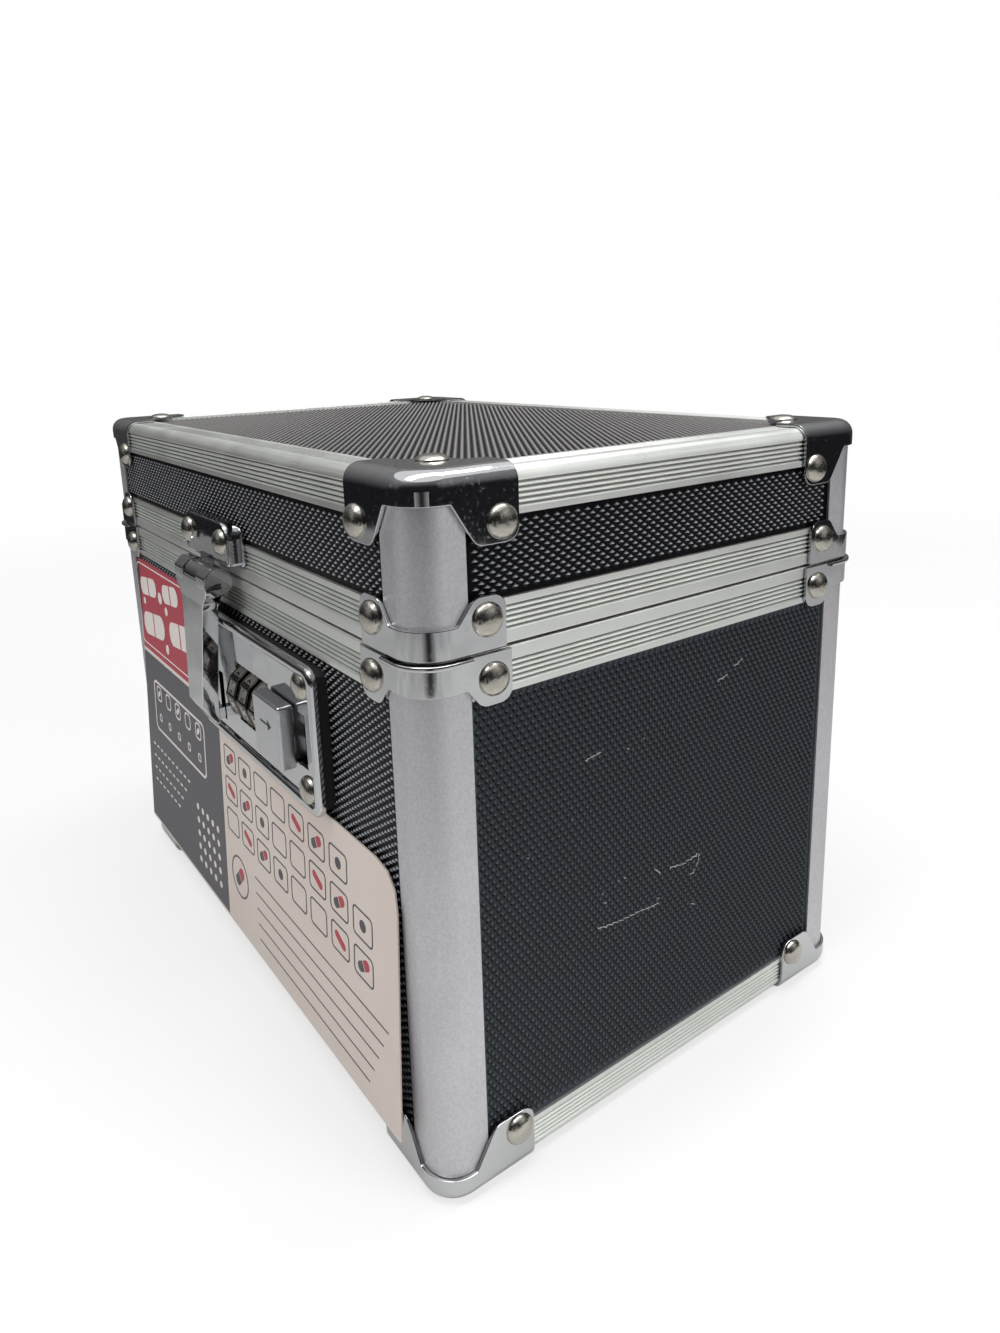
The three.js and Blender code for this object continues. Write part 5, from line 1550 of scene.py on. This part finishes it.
def addFloor():
    bm = bmesh.new()
    bmesh.ops.create_grid(bm, x_segments=1, y_segments=1, size=room["floorHalf"])
    material, tree, paint, spot = newMaterial("matPaintedFloor", {
        "Base Color": srgb("f2f2f2"), "Roughness": 0.9})
    away = addNode(tree, "ShaderNodeVectorMath", {"operation": "LENGTH"}, {0: spot})
    lift = addNode(tree, "ShaderNodeMapRange", {
        "From Min": 0.25, "From Max": 0.9, "To Min": 0.62, "To Max": 1,
    }, {"Value": away.outputs["Value"]})
    share = addNode(tree, "ShaderNodeMath", {"operation": "MULTIPLY"},
                    {0: seenDirectly(tree).outputs[0], 1: lift.outputs[0]})
    white = addNode(tree, "ShaderNodeEmission", {"Color": (1, 1, 1, 1), "Strength": 1})
    mixOut(tree, share, paint, white, "Material Output")
    flatObject("floor", bm, material)


def shadeBetween(tree, paint, share, dark, light):
    grey = addNode(tree, "ShaderNodeMix", {"data_type": "RGBA", 6: srgb(dark), 7: srgb(light)},
                   {0: share.outputs[0]})
    tree.links.new(grey.outputs[2], paint.inputs["Base Color"])


def addTableCloth():
    # a grey cloth round the box that only the metal sees, lighter near the box and to the right
    bm = bmesh.new()
    bmesh.ops.create_circle(bm, cap_ends=True, segments=64, radius=room["radius"])
    shiftAll(bm, (0, 0, room["matLift"]))
    material, tree, paint, spot = newMaterial("greyTableCloth", {"Roughness": 0.9})
    away = addNode(tree, "ShaderNodeVectorMath", {"operation": "LENGTH"}, {0: spot})
    near = addNode(tree, "ShaderNodeMapRange", {
        "From Min": 0.13, "From Max": 0.62, "To Min": 0.91, "To Max": 0.4,
    }, {"Value": away.outputs["Value"]})
    side = addNode(tree, "ShaderNodeVectorMath", {"operation": "DOT_PRODUCT", 1: (0.8, 0.6, 0)},
                   {0: spot})
    lit = addNode(tree, "ShaderNodeMapRange", {
        "From Min": -0.35, "From Max": 0.25, "To Min": 0.74, "To Max": 0.92,
    }, {"Value": side.outputs["Value"]})
    folds = addNode(tree, "ShaderNodeTexNoise", {"Scale": 9, "Detail": 3}, {"Vector": spot})
    patchy = addNode(tree, "ShaderNodeMapRange", {
        "From Min": 0.35, "From Max": 0.65, "To Min": 0.75, "To Max": 1.05,
    }, {"Value": folds.outputs[0]})
    level = addNode(tree, "ShaderNodeMath", {"operation": "MULTIPLY"},
                    {0: near.outputs[0], 1: lit.outputs[0]})
    level = addNode(tree, "ShaderNodeMath", {"operation": "MULTIPLY"},
                    {0: level.outputs[0], 1: patchy.outputs[0]})
    shadeBetween(tree, paint, level, "2a2a2e", "fafaf8")
    onlyForGloss(flatObject("tableCloth", bm, material))


def addRoomWall():
    # a low dark wall far round the table, which only the metal sees, paler towards its top
    material, tree, paint, spot = newMaterial("darkRoomPaint", {"Specular IOR Level": 0.12})
    rise = addNode(tree, "ShaderNodeVectorMath", {"operation": "DOT_PRODUCT", 1: (-0.3, 0.22, 1)},
                   {0: spot})
    share = addNode(tree, "ShaderNodeMapRange", {"From Min": 0.16, "From Max": 0.9},
                    {"Value": rise.outputs["Value"]})
    shadeBetween(tree, paint, share, "16171a", "8e8e8e")
    bm = bmesh.new()
    bmesh.ops.create_cone(bm, cap_ends=False, segments=64, radius1=room["radius"],
                          radius2=room["radius"], depth=room["height"])
    shiftAll(bm, (0, 0, room["height"] / 2))
    onlyForGloss(flatObject("roomWall", bm, material))


def addDarkCard():
    # a dark card beside the camera, which only the metal sees, paler towards its sides
    material, tree, paint, spot = newMaterial("darkCoat", {})
    azimuth = math.radians(view["azimuth"])
    sideways = Vector((math.cos(azimuth), math.sin(azimuth), 0))
    spot = addNode(tree, "ShaderNodeVectorMath", {"operation": "SUBTRACT", 1: room["cardPlace"]},
                   {0: spot})
    away = addNode(tree, "ShaderNodeVectorMath", {"operation": "DOT_PRODUCT", 1: sideways},
                   {0: spot.outputs[0]})
    away = addNode(tree, "ShaderNodeMath", {"operation": "ABSOLUTE"}, {0: away.outputs["Value"]})
    share = addNode(tree, "ShaderNodeMapRange", {
        "From Min": 0.02, "From Max": room["cardWidth"] / 2}, {"Value": away.outputs[0]})
    shadeBetween(tree, paint, share, "1c1a19", "b4b4b6")
    bm = bmesh.new()
    bmesh.ops.create_grid(bm, x_segments=1, y_segments=1, size=0.5)
    scaleAll(bm, (room["cardWidth"], room["cardHeight"], 1))
    turn = Matrix.Rotation(azimuth, 4, "Z") @ Matrix.Rotation(math.pi / 2, 4, "X")
    placeAll(bm, Matrix.Translation(room["cardPlace"]) @ turn)
    onlyForGloss(flatObject("darkFigure", bm, material))


def addWorld():
    world = bpy.data.worlds.new("paleStudio")
    world.use_nodes = True
    tree = world.node_tree
    soft = tree.nodes["Background"]
    soft.inputs["Color"].default_value = (1, 1, 1, 1)
    soft.inputs["Strength"].default_value = 0.42
    white = addNode(tree, "ShaderNodeBackground", {"Color": (1, 1, 1, 1), "Strength": 1})
    mixOut(tree, seenDirectly(tree), soft, white, "World Output")
    bpy.context.scene.world = world


lamps = {
    "overhead": {"place": (0.1, -0.05, 1.1), "size": (0.3, 1.3), "power": 9},
    "right": {"place": (1.0, 0.5, 0.6), "size": (0.6, 0.6), "power": 6},
    "front": {"place": (-0.3, -1.1, 0.6), "size": (0.6, 0.6), "power": 3.5},
}
lampAim = Vector((0, 0, 0.08))


def addLamps():
    for name, sizes in lamps.items():
        data = bpy.data.lights.new(name + "Lamp", "AREA")
        data.shape = "RECTANGLE"
        data.size, data.size_y = sizes["size"]
        data.energy = sizes["power"]
        lamp = bpy.data.objects.new(name + "Lamp", data)
        lamp.location = sizes["place"]
        if name != "overhead":
            towards = lampAim - Vector(sizes["place"])
            lamp.rotation_euler = towards.to_track_quat("-Z", "Y").to_euler()
        bpy.context.scene.collection.objects.link(lamp)


addFloor()
addTableCloth()
addRoomWall()
addDarkCard()
addWorld()
addLamps()
bpy.context.scene.view_settings.view_transform = "Standard"
print("stage lit")
